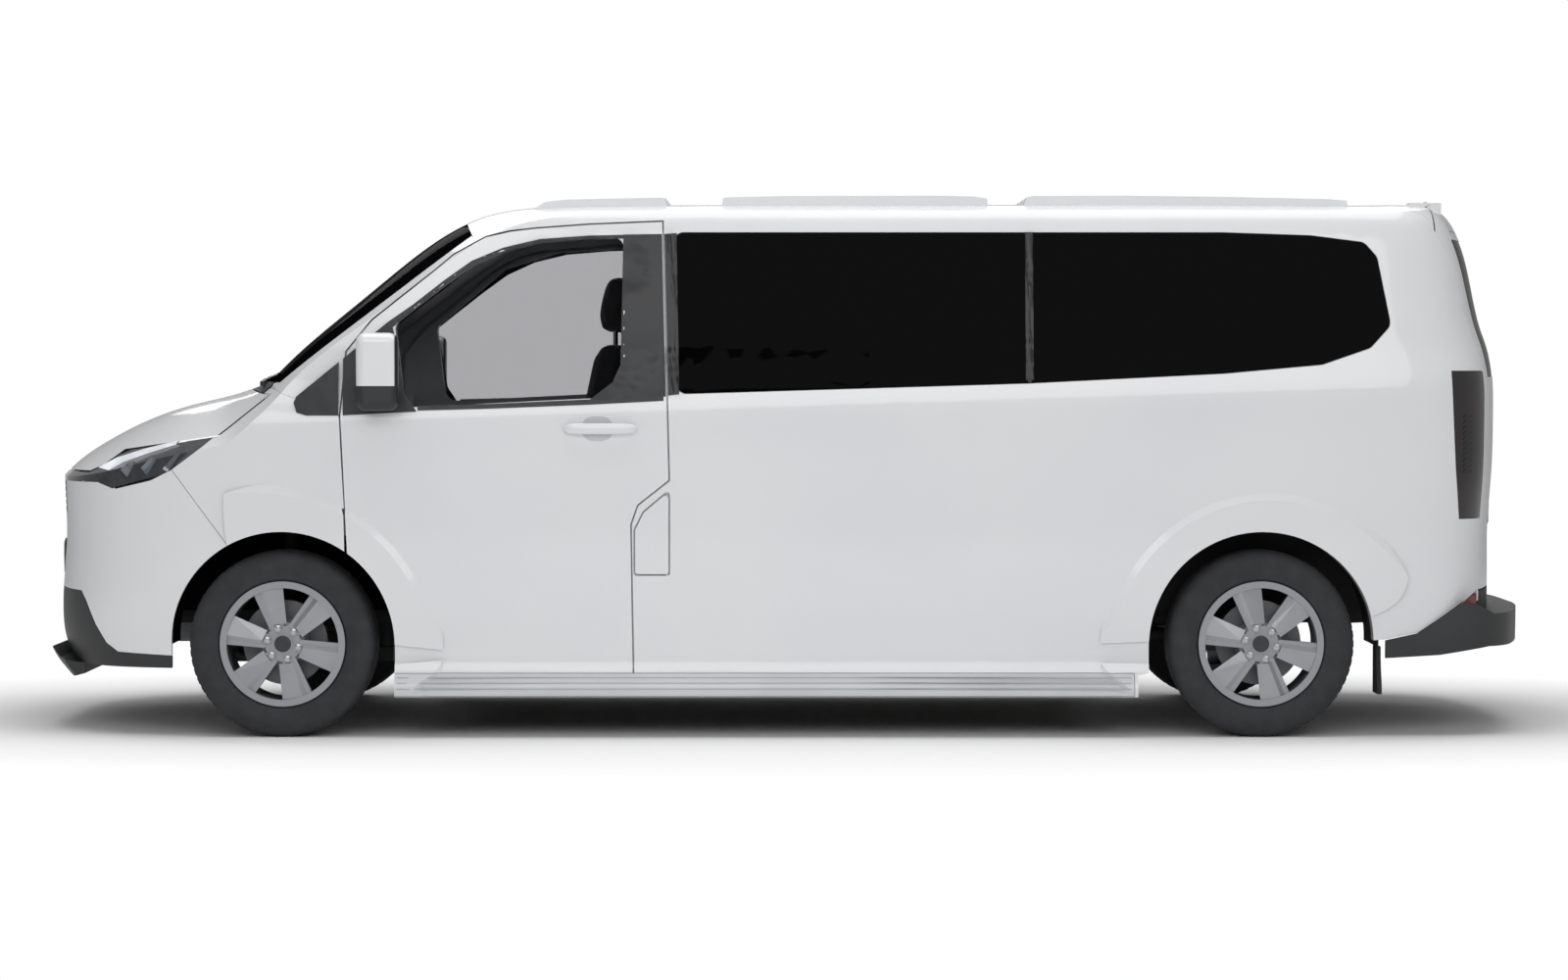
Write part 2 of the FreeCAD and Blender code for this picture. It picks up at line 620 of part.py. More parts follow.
# Front door hinges: an upright axis at the depth of the flange. The door's front edge swings inwards
# ahead of it, so its neighbours are cut back along that sweep.
DOOR_EDGE_PIXEL = (350, 500)
DOOR_SKIN_SHARE = 0.9965
SWEEP_CONES = [(560.0, 820.0, 44.0, 50.5), (820.0, 1160.0, 43.0, 59.0)]
SWEEP_TOP = 1440.0
upright = (0, 0, 1)
door_hinge_x = spot(DOOR_EDGE_PIXEL).x + size("door_hinge_setback")
door_hinge_y = -(across(DOOR_SKIN_SHARE) - flange)
post_y = door_hinge_y + size("hinge_post_reach")
door_leaves = []
door_pockets = []
door_bores = []
post_hinges = []
span = eye_length / 2 + ear_length + size("hinge_pocket_margin")
for z in (size("door_hinge_low"), size("door_hinge_high")):
    centre = (door_hinge_x, door_hinge_y, z)
    door_leaves.append(eye(centre, upright, barrel, pin + clearance, eye_length))
    leaf_low = (door_hinge_x + pin + lap / 2, door_hinge_y - lap, z - eye_length / 2 + lap)
    leaf_high = (door_hinge_x + size("hinge_leaf_length"), door_hinge_y + barrel,
        z + eye_length / 2 - lap)
    door_leaves.append(block(leaf_low, leaf_high))
    door_pockets.append(Part.makeCylinder(pocket, 2 * span, Vector(door_hinge_x, door_hinge_y, z - span)))
    door_bores.append(Part.makeCylinder(pin + clearance, 2 * span,
        Vector(door_hinge_x, door_hinge_y, z - span)))
    post_hinges.append(pin_and_ears(centre, upright))
    for sign in (-1, 1):
        leaf_z = z + sign * ear_middle
        post_hinges.append(block((door_hinge_x - leaf / 2, door_hinge_y, leaf_z - ear_length / 2),
                                 (door_hinge_x + leaf / 2, post_y + lap, leaf_z + ear_length / 2)))
sweep_cones = []
for low_z, high_z, low_radius, high_radius in SWEEP_CONES:
    sweep_cones.append(Part.makeCone(low_radius, high_radius, high_z - low_z,
        Vector(door_hinge_x, door_hinge_y, low_z)))
sweep_foot = Vector(door_hinge_x, door_hinge_y, SWEEP_CONES[0][0])
sweep_room = Part.makeCylinder(size("hinge_sweep_radius"), SWEEP_TOP - sweep_foot.z, sweep_foot)
sweep_void = sweep_room.common(flange_back)

# Side walls: one traced outline, less the roof, screen, doors, lamps and arches.
front_liner_room = [
    arch_cylinder(front_axle_x, liner_radius + liner + clearance, outside_y, -size("liner_inner_reach")),
    block((front_axle_x - liner_radius - liner - clearance, outside_y, -overrun),
          (front_axle_x + liner_radius + liner + clearance, -size("liner_inner_reach"), wheel_z)),
]
front_liner_room = [room.common(flange_back) for room in front_liner_room]
side = side_prism(SIDE_PIXELS).common(outer).cut(cabin)
side = side.cut([screen_room, roof_zone(seam), tailgate_room] + openings + front_liner_room
    + [sweep_void])
tail_panel_room = block((tail_x, -tailgate_y - seam, -overrun), (length, 0, tailgate_z))
cowl_room = block((nose_x, -notch_outer, up(MIDDLE_SHARE)), (firewall_x, 0, screen_base_z))
side = side.cut([side_prism(LAMP_PIXELS, -seam), tail_panel_room, cowl_room])
# The shut line step: the opening is wide through the outer flange and narrower behind it.
front_opening = side_prism(DOOR_PIXELS, -gap).cut(rebate)
front_opening_inner = side_prism(DOOR_PIXELS, size("door_rebate_inset"))
sill_recess = side_prism(SILL_PIXELS, -seam).cut(flange_back)
flap_recess = side_prism(FUEL_FLAP_PIXELS, -gap, size("flap_corner_radius")).cut(flange_back)
side = side.cut([front_opening, front_opening_inner, sill_recess])
rear_recess = side_prism(REAR_GLASS_PIXELS, -seam, window_radius).cut(glass_seat)
front_pane_opening = side_prism(FRONT_PANE_OPENING_PIXELS, 0, window_radius)
rear_pane_opening = side_prism(REAR_PANE_OPENING_PIXELS, 0, window_radius)
right_side = side.cut(side_prism(SLIDING_DOOR_PIXELS, -gap, window_radius))
right_side = right_side.cut([rear_recess, rear_pane_opening])
left_side = side.cut([rear_recess, flap_recess, rear_pane_opening, front_pane_opening])

# Fuel flap: a pin through its rear edge stands between the ends of its recess.
flap_rear = spot(FUEL_FLAP_PIXELS[-2])
flap_top = spot(FUEL_FLAP_PIXELS[2])
flap_hinge_x = flap_rear.x - size("flap_hinge_inset")
flap_hinge_y = -half_width + (recess + glass) / 2
flap_pin = size("flap_pin_radius")
flap_pin_seat = size("flap_pin_seat")
flap_pin_rod = rod((flap_hinge_x, flap_hinge_y, flap_rear.z - flap_pin_seat),
                   (flap_hinge_x, flap_hinge_y, flap_top.z + flap_pin_seat), flap_pin)
flap_bore = rod((flap_hinge_x, flap_hinge_y, 0), (flap_hinge_x, flap_hinge_y, height),
    flap_pin + clearance)
flap = side_prism(FUEL_FLAP_PIXELS, 0, size("flap_corner_radius")).common(plain_hull).cut([glass_back,
    flap_bore])
node("fuel_flap", largest(flap))
node("body_side_left", largest(largest(left_side).fuse(flap_pin_rod)))
node("body_side_right", mirrored(largest(right_side)))

sliding = side_prism(SLIDING_DOOR_PIXELS, 0, window_radius).common(outer).cut(cabin)
sliding = sliding.cut([rear_recess, front_pane_opening, sill_recess] + openings)
node("sliding_door", mirrored(largest(sliding)))

pane = side_prism(REAR_GLASS_PIXELS, 0, window_radius).common(glass_skin).cut(glass_back)
front_split = block((spot((GLASS_SPLIT_PIXELS[0], 0)).x, outside_y, 0), (length, 0, far_z))
rear_split = block((-length, outside_y, 0), (spot((GLASS_SPLIT_PIXELS[1], 0)).x, 0, far_z))
panes = [largest(pane.cut(front_split)), largest(pane.cut(rear_split))]
node("side_glass", Part.makeCompound(on_both_sides(panes)))

# Front doors: an outer flange on the full outline and a deeper box inside the rebate.
door_box_front = block((door_hinge_x - 2 * overrun, outside_y, -overrun),
    (door_hinge_x + pocket, door_hinge_y + 3 * overrun, far_z))
door_flange = side_prism(DOOR_PIXELS).common(outer).cut(flange_back)
door_box = side_prism(DOOR_PIXELS, size("door_box_inset")).common(flange_back).cut([cabin,
    door_box_front])
door = door_flange.fuse(door_box).cut(openings + front_liner_room + [sill_recess] + door_pockets)
door = largest(door.cut(side_prism(DOOR_WINDOW_PIXELS, 0, window_radius)))
door = largest(door.cut(door_bores).fuse(door_leaves))
door_glass = side_prism(DOOR_WINDOW_PIXELS, clearance, window_radius).common(glass_skin).cut(glass_back)
door_glass = largest(door_glass)
node("front_door_left", door)
node("front_door_right", mirrored(door))
node("front_door_glass_left", door_glass)
node("front_door_glass_right", mirrored(door_glass))

# Door mirrors: a rounded head on a short arm that stands on the door's skin.
MIRROR_HEAD = ((-1520, -1137, 1170), (-1372, -1032, 1446))
MIRROR_ARM = ((-1500, -1050, 1188), (-1415, -930, 1252))
mirror_head = block(*MIRROR_HEAD)
mirror_head = mirror_head.makeFillet(size("mirror_fillet"), mirror_head.Edges)
mirror_arm = block(*MIRROR_ARM).cut(hull(-clearance, -clearance))
mirror_unit = largest(mirror_head.fuse(mirror_arm))
node("door_mirror_left", mirror_unit)
node("door_mirror_right", mirrored(mirror_unit))

# Bonnet and its hinges, which stand in a notch between the scuttle and the wings.
bonnet = bonnet_side(0).common(plain_hull).cut(flange_back)
bonnet = largest(bonnet.cut(behind_arc(bonnet_rear_x, bonnet_radius)))
bonnet_hinge = Vector(size("bonnet_hinge_x"), 0, size("bonnet_hinge_z"))
ARM_OUTLINE = [
    (-6, 6), (-6, -6), (-45, -60), (-110, -106), (-210, -151), (-290, -171), (-290, -146), (-192, -115),
    (-110, -72), (-58, -48), (-20, -11),
]
BRACKET_OUTLINE = [(-2.5, 0), (2.5, 0), (12, -140), (-12, -140)]
cross = (0, 1, 0)
arms = []
brackets = []
for y in (-size("bonnet_hinge_y"), size("bonnet_hinge_y")):
    centre = (bonnet_hinge.x, y, bonnet_hinge.z)
    arms.append(eye(centre, cross, barrel, pin + clearance, eye_length))
    arm = prism([bonnet_hinge + Vector(x, 0, z) for x, z in ARM_OUTLINE], y - eye_length / 2 + lap,
        y + eye_length / 2 - lap)
    arms.append(arm)
    brackets.append(pin_and_ears(centre, cross))
    for sign in (-1, 1):
        ear_y = y + sign * ear_middle
        brackets.append(prism([bonnet_hinge + Vector(x, 0, z) for x, z in BRACKET_OUTLINE],
            ear_y - ear_length / 2, ear_y + ear_length / 2))
bonnet = largest(bonnet.fuse(arms))
node("bonnet", bonnet)

# Front wings, scuttle, bumper, lamps and grille
SCUTTLE_BOX = ((-2060, -655, 1140), (-1760, 655))
wing_inner = block((along(0), -notch_outer, up(MIDDLE_SHARE)), (firewall_x, 0, far_z))
wing = side_prism(WING_PIXELS).common(outer).cut(flange_back)
wing = wing.cut([bonnet_room, screen_room, side_prism(BUMPER_SEAM_PIXELS, -seam), headlamp_zone(seam),
    wing_inner]
                + openings + sweep_cones)
node("front_wings", both(largest(wing)))

scuttle_low, scuttle_high = SCUTTLE_BOX
scuttle = block(scuttle_low, (*scuttle_high, screen_base_z - seam)).common(behind_arc(bonnet_rear_x + gap,
    bonnet_radius))
scuttle = scuttle.common(plain_hull).cut([flange_back, screen_room])
node("scuttle_panel", largest(scuttle))

GRILLE_BOX = ((-2800, -520, 790), (-2500, 520, 905))
GRILLE_BARS = [812, 836, 860, 884]
GRILLE_SLOT_HEIGHT = 11
GRILLE_POSTS = [-520, -346, -173, 0, 173, 346, 520]
GRILLE_POST_HALF = 9
INTAKE_BARS = [300, 340, 380, 420]
INTAKE_SLOT_HEIGHT = 22
INTAKE_HALF_WIDTH = 430
LIP_OUTLINE = [(-2725, 264), (-2722, 274), (-2700, 296), (-2655, 262), (-2590, 246), (-2560, 246),
    (-2560, 205), (-2610, 192), (-2640, 199)]
LIP_HALF_WIDTH = 640
LIP_SHIFT = -66
bumper = side_prism(BUMPER_SEAM_PIXELS, 0, 0, -far_y, far_y).common(outer).cut(flange_back)
lamp_rooms = on_both_sides([headlamp_zone(seam)])
bumper = bumper.cut(both_openings + [bonnet_room] + lamp_rooms)
slots = []
for z in GRILLE_BARS:
    for start, end in zip(GRILLE_POSTS, GRILLE_POSTS[1:]):
        slots.append(block((nose_x - overrun, start + GRILLE_POST_HALF, z - GRILLE_SLOT_HEIGHT / 2),
            (-2500, end - GRILLE_POST_HALF, z + GRILLE_SLOT_HEIGHT / 2)))
grille = largest(bumper.common(block(*GRILLE_BOX)).cut(slots))
node("grille", grille)
lip = prism([Vector(x, 0, z) for x, z in LIP_OUTLINE], -LIP_HALF_WIDTH,
    LIP_HALF_WIDTH).common(plain_hull.translated(Vector(LIP_SHIFT, 0, 0)))
intakes = [block((nose_x, -INTAKE_HALF_WIDTH, z), (-2500, INTAKE_HALF_WIDTH, z + INTAKE_SLOT_HEIGHT))
    for z in INTAKE_BARS]
trim = bumper.common(side_prism(TRIM_PIXELS, 0, 0, -far_y, far_y)).fuse(lip).cut(intakes)
node("front_bumper_trim", largest(trim))
grille_low, grille_high = GRILLE_BOX
grille_room = block([v - clearance for v in grille_low], [v + clearance for v in grille_high])
bumper = largest(bumper.cut([side_prism(TRIM_PIXELS, -seam, 0, -far_y, far_y), grille_room]))
node("front_bumper", bumper)
lamp = headlamp_zone(0).common(plain_hull).cut([rebate, bonnet_room])
node("headlamps", both(largest(lamp)))

# Tailgate: a hollow frame with its window, hinges at the roof's rear edge and a capped top edge.
SPOILER_START = 70
SPOILER_INSET = 20
SPOILER_BASE = 1815
TAIL_LEAF = (60, 45, 4)
ROOF_LEAF = (60, 34, 4)
tail = plain_hull.cut(cabin).common(tailgate_zone(0))
window_low = (tail_x, -across(REAR_WINDOW_WIDTH_SHARE), up(REAR_WINDOW_BASE_SHARE))
window_high = (length, across(REAR_WINDOW_WIDTH_SHARE), up(REAR_WINDOW_TOP_SHARE))
tail = largest(tail.cut(block(window_low, window_high)))
pane_space = block([v + clearance for v in window_low], [v - clearance for v in window_high])
node("tailgate_glass", largest(pane_space.common(glass_skin).cut(glass_back)))
tail_hinge_x = tail_x - gap / 2
tail_hinge_z = size("tailgate_hinge_z")
tail_parts = []
for y in (-size("tailgate_hinge_y"), size("tailgate_hinge_y")):
    centre = (tail_hinge_x, y, tail_hinge_z)
    tail_parts.append(eye(centre, cross, barrel, pin + clearance, eye_length))
    reach, drop, rise = TAIL_LEAF
    tail_parts.append(block((tail_hinge_x + pin + lap / 2, y - eye_length / 2, tail_hinge_z - drop),
                            (tail_hinge_x + reach, y + eye_length / 2, tail_hinge_z + rise)))
    roof_parts.append(pin_and_ears(centre, cross))
    reach, drop, rise = ROOF_LEAF
    for sign in (-1, 1):
        ear_y = y + sign * ear_middle
        roof_parts.append(block((tail_hinge_x - reach, ear_y - ear_length / 2, tail_hinge_z - drop),
                                (tail_hinge_x, ear_y + ear_length / 2, tail_hinge_z + rise)))
tail_bores = [rod((tail_hinge_x, y - eye_length, tail_hinge_z),
    (tail_hinge_x, y + eye_length, tail_hinge_z), pin + clearance)
              for y in (-size("tailgate_hinge_y"), size("tailgate_hinge_y"))]
ear_rooms = [block((tail_hinge_x - pocket, y - notch_half, tail_hinge_z - pocket),
    (tail_hinge_x + pocket, y - eye_length / 2, far_z))
             for y in (-size("tailgate_hinge_y"), size("tailgate_hinge_y"))]
ear_rooms += [mirrored(room) for room in ear_rooms]
spoiler_low = (tail_x + SPOILER_START, -tailgate_y + SPOILER_INSET, SPOILER_BASE)
spoiler_high = (length, tailgate_y - SPOILER_INSET, far_z)
spoiler = block(spoiler_low, spoiler_high).common(plain_hull).cut(hull(flange - clearance,
    flange - clearance))
node("tailgate_spoiler", largest(spoiler))
spoiler_room = block([v - seam for v in spoiler_low],
    (length, spoiler_high[1] + seam, far_z)).cut(flange_back)
tail = largest(tail.cut([spoiler_room] + ear_rooms).fuse(tail_parts).cut(tail_bores))
node("tailgate", tail)
tailgate_swing = rod((tail_hinge_x, -tailgate_y - gap, tail_hinge_z),
    (tail_hinge_x, tailgate_y + gap, tail_hinge_z), size("tailgate_edge_swing"))
roof = largest(roof.cut(tailgate_swing).fuse(roof_parts))
node("roof_panel", roof)
lamps = side_prism(LAMP_PIXELS).common(plain_hull).cut([cabin, tailgate_room])
node("tail_lamps", both(largest(lamps)))

REAR_BUMPER_SHIFT = 108
bumper_hull = plain_hull.translated(Vector(REAR_BUMPER_SHIFT, 0, 0))
rear_bumper = side_prism(REAR_BUMPER_PIXELS, 0, 0, -far_y,
    far_y).common(bumper_hull).cut([flange_back] + both_openings)
rear_bumper = rear_bumper.cut([block((length / 2, -far_y, 0), (length, far_y, far_z)), tailgate_room])
node("rear_bumper", largest(rear_bumper))
sill = side_prism(SILL_PIXELS).common(outer).cut([flange_back] + openings)
node("sill_mouldings", both(largest(sill)))

# Floor with its rails and rear wheelhouses, and the panel under the tailgate
rail_y = size("rail_y")
rail_half = size("rail_width") / 2
inner_reach = size("liner_inner_reach")
kingpin_low = Vector(front_axle_x, -size("kingpin_low_y"), size("kingpin_low_z"))
kingpin_high = Vector(front_axle_x, -size("kingpin_high_y"), size("kingpin_high_z"))
kingpin_axis = (kingpin_high - kingpin_low).normalize()


def wheelhouse(axle_x, fit):
    """A round liner over a wheel, closed on its inner side above the floor and open below."""
    ring = arch_cylinder(axle_x, liner_radius + liner, outside_y, -inner_reach + liner)
    hollow = arch_cylinder(axle_x, liner_radius, outside_y, -inner_reach)
    passage = arch_cylinder(axle_x, liner_radius, outside_y, -inner_reach + liner)
    below = block((axle_x - arch_radius * 2, outside_y, -overrun),
        (axle_x + arch_radius * 2, 0, size("liner_bottom")))
    low_passage = passage.common(block((axle_x - arch_radius * 2, outside_y, 0),
        (axle_x + arch_radius * 2, 0, floor_low)))
    return ring.cut([hollow, below, low_passage]).common(fit)


def wheel_space(axle_x, radius):
    """The room inside a wheelhouse on both sides, with the open room below it."""
    upper = arch_cylinder(axle_x, radius, outside_y, -inner_reach)
    lower = block((axle_x - radius, outside_y, -overrun), (axle_x + radius, -inner_reach, wheel_z))
    return on_both_sides([upper, lower])


door_rooms = on_both_sides([side_prism(DOOR_PIXELS, -gap, 0.0, outside_y, -size("door_sill_y"))])
front_liner_void = arch_cylinder(front_axle_x, liner_radius + liner + clearance, outside_y,
    -inner_reach + liner + clearance)
rear_house = wheelhouse(rear_axle_x, cabin_fit)
rear_spaces = wheel_space(rear_axle_x, liner_radius)
plate = block((firewall_x, -far_y, floor_low), (size("floor_rear"), far_y, floor_top)).common(cabin_fit)
plate = plate.cut(door_rooms + rear_spaces + on_both_sides([front_liner_void]))
tail_panel = block((size("rail_rear"), -tailgate_y, floor_low),
    (length, tailgate_y, tailgate_z - gap)).common(plain_hull)
tail_panel = tail_panel.cut(side_prism(REAR_BUMPER_PIXELS, -seam, 0, -far_y, far_y).cut(flange_fit))
rails = []
for y in (-rail_y, rail_y):
    rails.append(block((size("rail_front"), y - rail_half, rail_low),
        (size("rail_rear"), y + rail_half, floor_low)))
tow_holes = []
for x in (size("tow_hole_front_x"), size("tow_hole_rear_x")):
    for y in (-rail_y, rail_y):
        tow_holes.append(rod((x, y, rail_low - overrun), (x, y, floor_top + overrun),
            size("tow_hole_radius")))
floor_pan = plate.fuse([tail_panel, rear_house, mirrored(rear_house)] + rails)
floor_pan = largest(floor_pan.cut(tow_holes + rear_spaces))
node("floor_pan", floor_pan)

# Front structure: bulkhead, inner wings, wheelhouses, strut towers, hinge posts and the lamp support
INNER_WING = ((-2450, -565), (-551, 980))
SUPPORT = ((-2470, -565, 400), (-2440, 565, 940))
SUPPORT_MARGIN = (125, 80, 60)
LAMP_BRACKET = ((-2450, -900, 905), (-2420, -555, 955))
LEDGE_HALF = 30
LEDGE_DROPS = (125, 105)
LEDGE_WIDTH = 710
WEB_BOTTOM = 1100
bulkhead_low = (firewall_x - size("bulkhead_thickness"), -size("bulkhead_half_width"), floor_low)
bulkhead = block(bulkhead_low, (firewall_x, size("bulkhead_half_width"), size("bulkhead_top")))
front_house = wheelhouse(front_axle_x, flange_fit).cut([door_rooms[0], sweep_room])
front_spaces = wheel_space(front_axle_x, liner_radius)
post_low = (door_hinge_x - size("post_front"), post_y, size("post_bottom"))
post_high = (door_hinge_x + size("post_rear"), post_y + size("post_thickness"), size("post_top"))
post = block(post_low, post_high).cut(front_spaces)
(wing_front, wing_low_y), (wing_high_y, wing_top) = INNER_WING
inner_wing = block((wing_front, wing_low_y, floor_low),
    (firewall_x - liner, wing_high_y, wing_top)).cut(front_spaces)
tower_start = kingpin_high - kingpin_axis * size("tower_offset")
tower = Part.makeCylinder(size("tower_radius"), size("tower_height"), tower_start, kingpin_axis)
tower = tower.cut(front_spaces)
void_start = kingpin_high - kingpin_axis * size("tower_void_height")
tower_void = Part.makeCylinder(size("tower_radius") - size("tower_wall"), size("tower_void_height"),
    void_start, kingpin_axis)
bore_start = kingpin_high - kingpin_axis * size("rod_bore_depth")
rod_bore = Part.makeCylinder(size("rod_radius") + clearance, size("rod_bore_depth") * 3, bore_start,
    kingpin_axis)
half_front = front_house.fuse([inner_wing, post, tower]).cut([tower_void, rod_bore]).fuse(post_hinges)
support_low, support_high = SUPPORT
support_hole_low = [v + margin * sign for v, margin, sign in zip(support_low, SUPPORT_MARGIN, (-1, 1, 1))]
support_hole_high = [v - margin * sign for v, margin,
    sign in zip(support_high, SUPPORT_MARGIN, (-1, 1, 1))]
support = block(support_low, support_high).cut(block(support_hole_low, support_hole_high))
ledge_low, ledge_high = [bonnet_hinge.z - drop for drop in LEDGE_DROPS]
ledge = block((bonnet_hinge.x - LEDGE_HALF, -LEDGE_WIDTH, ledge_low),
    (bonnet_hinge.x + LEDGE_HALF, LEDGE_WIDTH, ledge_high))
web = block((bonnet_hinge.x, -LEDGE_WIDTH, WEB_BOTTOM), (firewall_x, LEDGE_WIDTH, size("bulkhead_top")))
lamp_seat = block(*LAMP_BRACKET).common(hull(flange + gap + clearance, flange + gap + clearance))
half_front = half_front.fuse(lamp_seat)
front_structure = bulkhead.cut(front_spaces).fuse([half_front, mirrored(half_front), support, ledge,
    web] + brackets)
node("front_structure", largest(front_structure.cut(rails)))


def bar(name, start, end, radius):
    """A round bar between two points, each given as three expressions in the sheet's names."""
    item = doc.addObject("Part::Cylinder", name)
    run = Vector(*[worth(f"({far}) - ({near})") for near, far in zip(start, end)])
    item.Placement = FreeCAD.Placement(Vector(), FreeCAD.Rotation(Vector(0, 0, 1), run))
    squares = " + ".join(f"(({far}) - ({near}))^2" for near, far in zip(start, end))
    item.setExpression("Radius", bound(radius))
    item.setExpression("Height", bound(f"sqrt({squares})"))
    for axis, words in zip("xyz", start):
        item.setExpression(f"Placement.Base.{axis}", bound(words))
    return item


def box(name, low, high):
    """A box between two corners, each given as three expressions in the sheet's names."""
    item = doc.addObject("Part::Box", name)
    for side_name, axis, near, far in zip(("Length", "Width", "Height"), "xyz", low, high):
        item.setExpression(side_name, bound(f"({far}) - ({near})"))
        item.setExpression(f"Placement.Base.{axis}", bound(near))
    return item


def keep(name, feature):
    """Enters a finished parametric piece under its node name."""
    feature.Label = name
    nodes[name] = feature


def joined(name, parts):
    """One piece fused from several."""
    whole = doc.addObject("Part::MultiFuse", name)
    whole.Shapes = parts
    keep(name, whole)
    return whole


front_axle = "front_overhang - overall_length / 2"
rear_axle = "front_overhang - overall_length / 2 + wheelbase"
axle_height = "tyre_diameter / 2"
floor_under = "floor_top - floor_thickness"
rail_under = "floor_top - floor_thickness - rail_height"
kingpin_run = "sqrt((kingpin_low_y - kingpin_high_y)^2 + (kingpin_high_z - kingpin_low_z)^2)"


def kingpin_spot(side_sign, distance):
    """A point on a steering axis, at a distance up from its lower ball joint."""
    y = f"{side_sign} * (kingpin_low_y - (kingpin_low_y - kingpin_high_y) * ({distance}) / {kingpin_run})"
    z = f"kingpin_low_z + (kingpin_high_z - kingpin_low_z) * ({distance}) / {kingpin_run}"
    return (front_axle, y, z)


# Front subframe: side and cross members, mounts to the rails and a tubular lower arm on each side
subframe_parts = []
for tag, side_sign in (("left", -1), ("right", 1)):
    inner = f"{side_sign} * (subframe_y - subframe_width / 2)"
    outer_edge = f"{side_sign} * (subframe_y + subframe_width / 2)"
    low_y, high_y = (outer_edge, inner) if side_sign < 0 else (inner, outer_edge)
    subframe_parts.append(box(f"side_member_{tag}", ("subframe_front", low_y, "subframe_bottom"),
                              ("subframe_rear", high_y, "subframe_top")))
    middle = f"{side_sign} * subframe_y"
    for end, x in (("front", "subframe_front + bush_radius"), ("rear", "subframe_rear - bush_radius")):
        subframe_parts.append(bar(f"mount_{end}_{tag}", (x, middle, "subframe_bottom"),
            (x, middle, rail_under), "bush_radius"))
    ball = kingpin_spot(side_sign, "-arm_boss_drop")
    for end, turn in (("front", "-"), ("rear", "+")):
        foot = (f"{front_axle} {turn} arm_half_spread", middle, "subframe_top - arm_radius")
        subframe_parts.append(bar(f"arm_{end}_{tag}", foot, ball, "arm_radius"))
    subframe_parts.append(bar(f"arm_boss_{tag}", kingpin_spot(side_sign, "-arm_boss_low"),
                              kingpin_spot(side_sign, "-arm_boss_high"), "arm_boss_radius"))
for end, near, far in (("front", "subframe_front", "subframe_front + subframe_width"),
                       ("rear", "subframe_rear - subframe_width", "subframe_rear")):
    subframe_parts.append(box(f"cross_member_{end}", (near, "-subframe_y", "subframe_bottom"),
        (far, "subframe_y", "subframe_top")))
subframe_solid = doc.addObject("Part::MultiFuse", "subframe_solid")
subframe_solid.Shapes = subframe_parts
ball_bores = doc.addObject("Part::MultiFuse", "ball_bores")
ball_bores.Shapes = [bar(f"ball_bore_{tag}", kingpin_spot(side_sign, "-ball_bore_reach"),
    kingpin_spot(side_sign, "ball_bore_reach"),
                         "ball_pin_radius + seat_clearance") for tag, side_sign in (("left", -1),
                         ("right", 1))]
subframe = doc.addObject("Part::Cut", "front_subframe")
subframe.Base = subframe_solid
subframe.Tool = ball_bores
keep("front_subframe", subframe)

keep("engine_block", box("engine_block", ("engine_front", "engine_left", "engine_bottom"),
    ("engine_rear", "engine_right", "engine_top")))
tank_top = f"{floor_under} - seat_clearance"
keep("fuel_tank", box("fuel_tank", ("tank_front", "tank_left", "tank_bottom"),
    ("tank_rear", "tank_right", tank_top)))

# Steering knuckles: bearing housing, spindle, strut and rod on the steering axis, and the lower ball pin
for tag, side_sign in (("left", -1), ("right", 1)):
    def axle_spot(distance):
        """A point on this side's front axle line."""
        return (front_axle, f"{side_sign} * ({distance})", axle_height)
    joined(f"knuckle_{tag}", [
        bar(f"housing_{tag}", axle_spot("knuckle_inner_y"), axle_spot("knuckle_outer_y"),
            "knuckle_radius"),
        bar(f"spindle_{tag}", axle_spot("knuckle_inner_y"), axle_spot("track_width / 2 + spindle_end"),
            "spindle_radius"),
        bar(f"strut_{tag}", kingpin_spot(side_sign, "strut_start"),
            kingpin_spot(side_sign, "strut_start + strut_length"), "strut_radius"),
        bar(f"rod_{tag}", kingpin_spot(side_sign, "strut_length"),
            kingpin_spot(side_sign, "strut_length + rod_length"), "rod_radius"),
        bar(f"boss_{tag}", kingpin_spot(side_sign, "ball_boss_start"),
            kingpin_spot(side_sign, "strut_start"), "ball_boss_radius"),
        bar(f"ball_{tag}", kingpin_spot(side_sign, "-ball_pin_reach"),
            kingpin_spot(side_sign, "ball_pin_length - ball_pin_reach"), "ball_pin_radius"),
    ])

# Rear axle: a cross beam, hubs with spindles, and trailing arms up to the rails
arm_front = f"{rear_axle} - trailing_arm_length"
axle_parts = [bar("axle_beam", (rear_axle, "-knuckle_inner_y", axle_height),
    (rear_axle, "knuckle_inner_y", axle_height), "axle_beam_radius")]
for tag, side_sign in (("left", -1), ("right", 1)):
    side_y = f"{side_sign} * rail_y"
    axle_parts += [
        bar(f"rear_housing_{tag}", (rear_axle, f"{side_sign} * axle_housing_inner_y", axle_height),
            (rear_axle, f"{side_sign} * knuckle_outer_y", axle_height), "knuckle_radius"),
        bar(f"rear_spindle_{tag}", (rear_axle, f"{side_sign} * knuckle_inner_y", axle_height),
            (rear_axle, f"{side_sign} * (track_width / 2 + spindle_end)", axle_height), "spindle_radius"),
        bar(f"trailing_arm_{tag}", (arm_front, side_y, axle_height), (rear_axle, side_y, axle_height),
            "trailing_arm_radius"),
        bar(f"arm_mount_{tag}", (arm_front, side_y, f"{axle_height} - bush_radius"),
            (arm_front, side_y, rail_under), "bush_radius"),
    ]
joined("rear_axle", axle_parts)

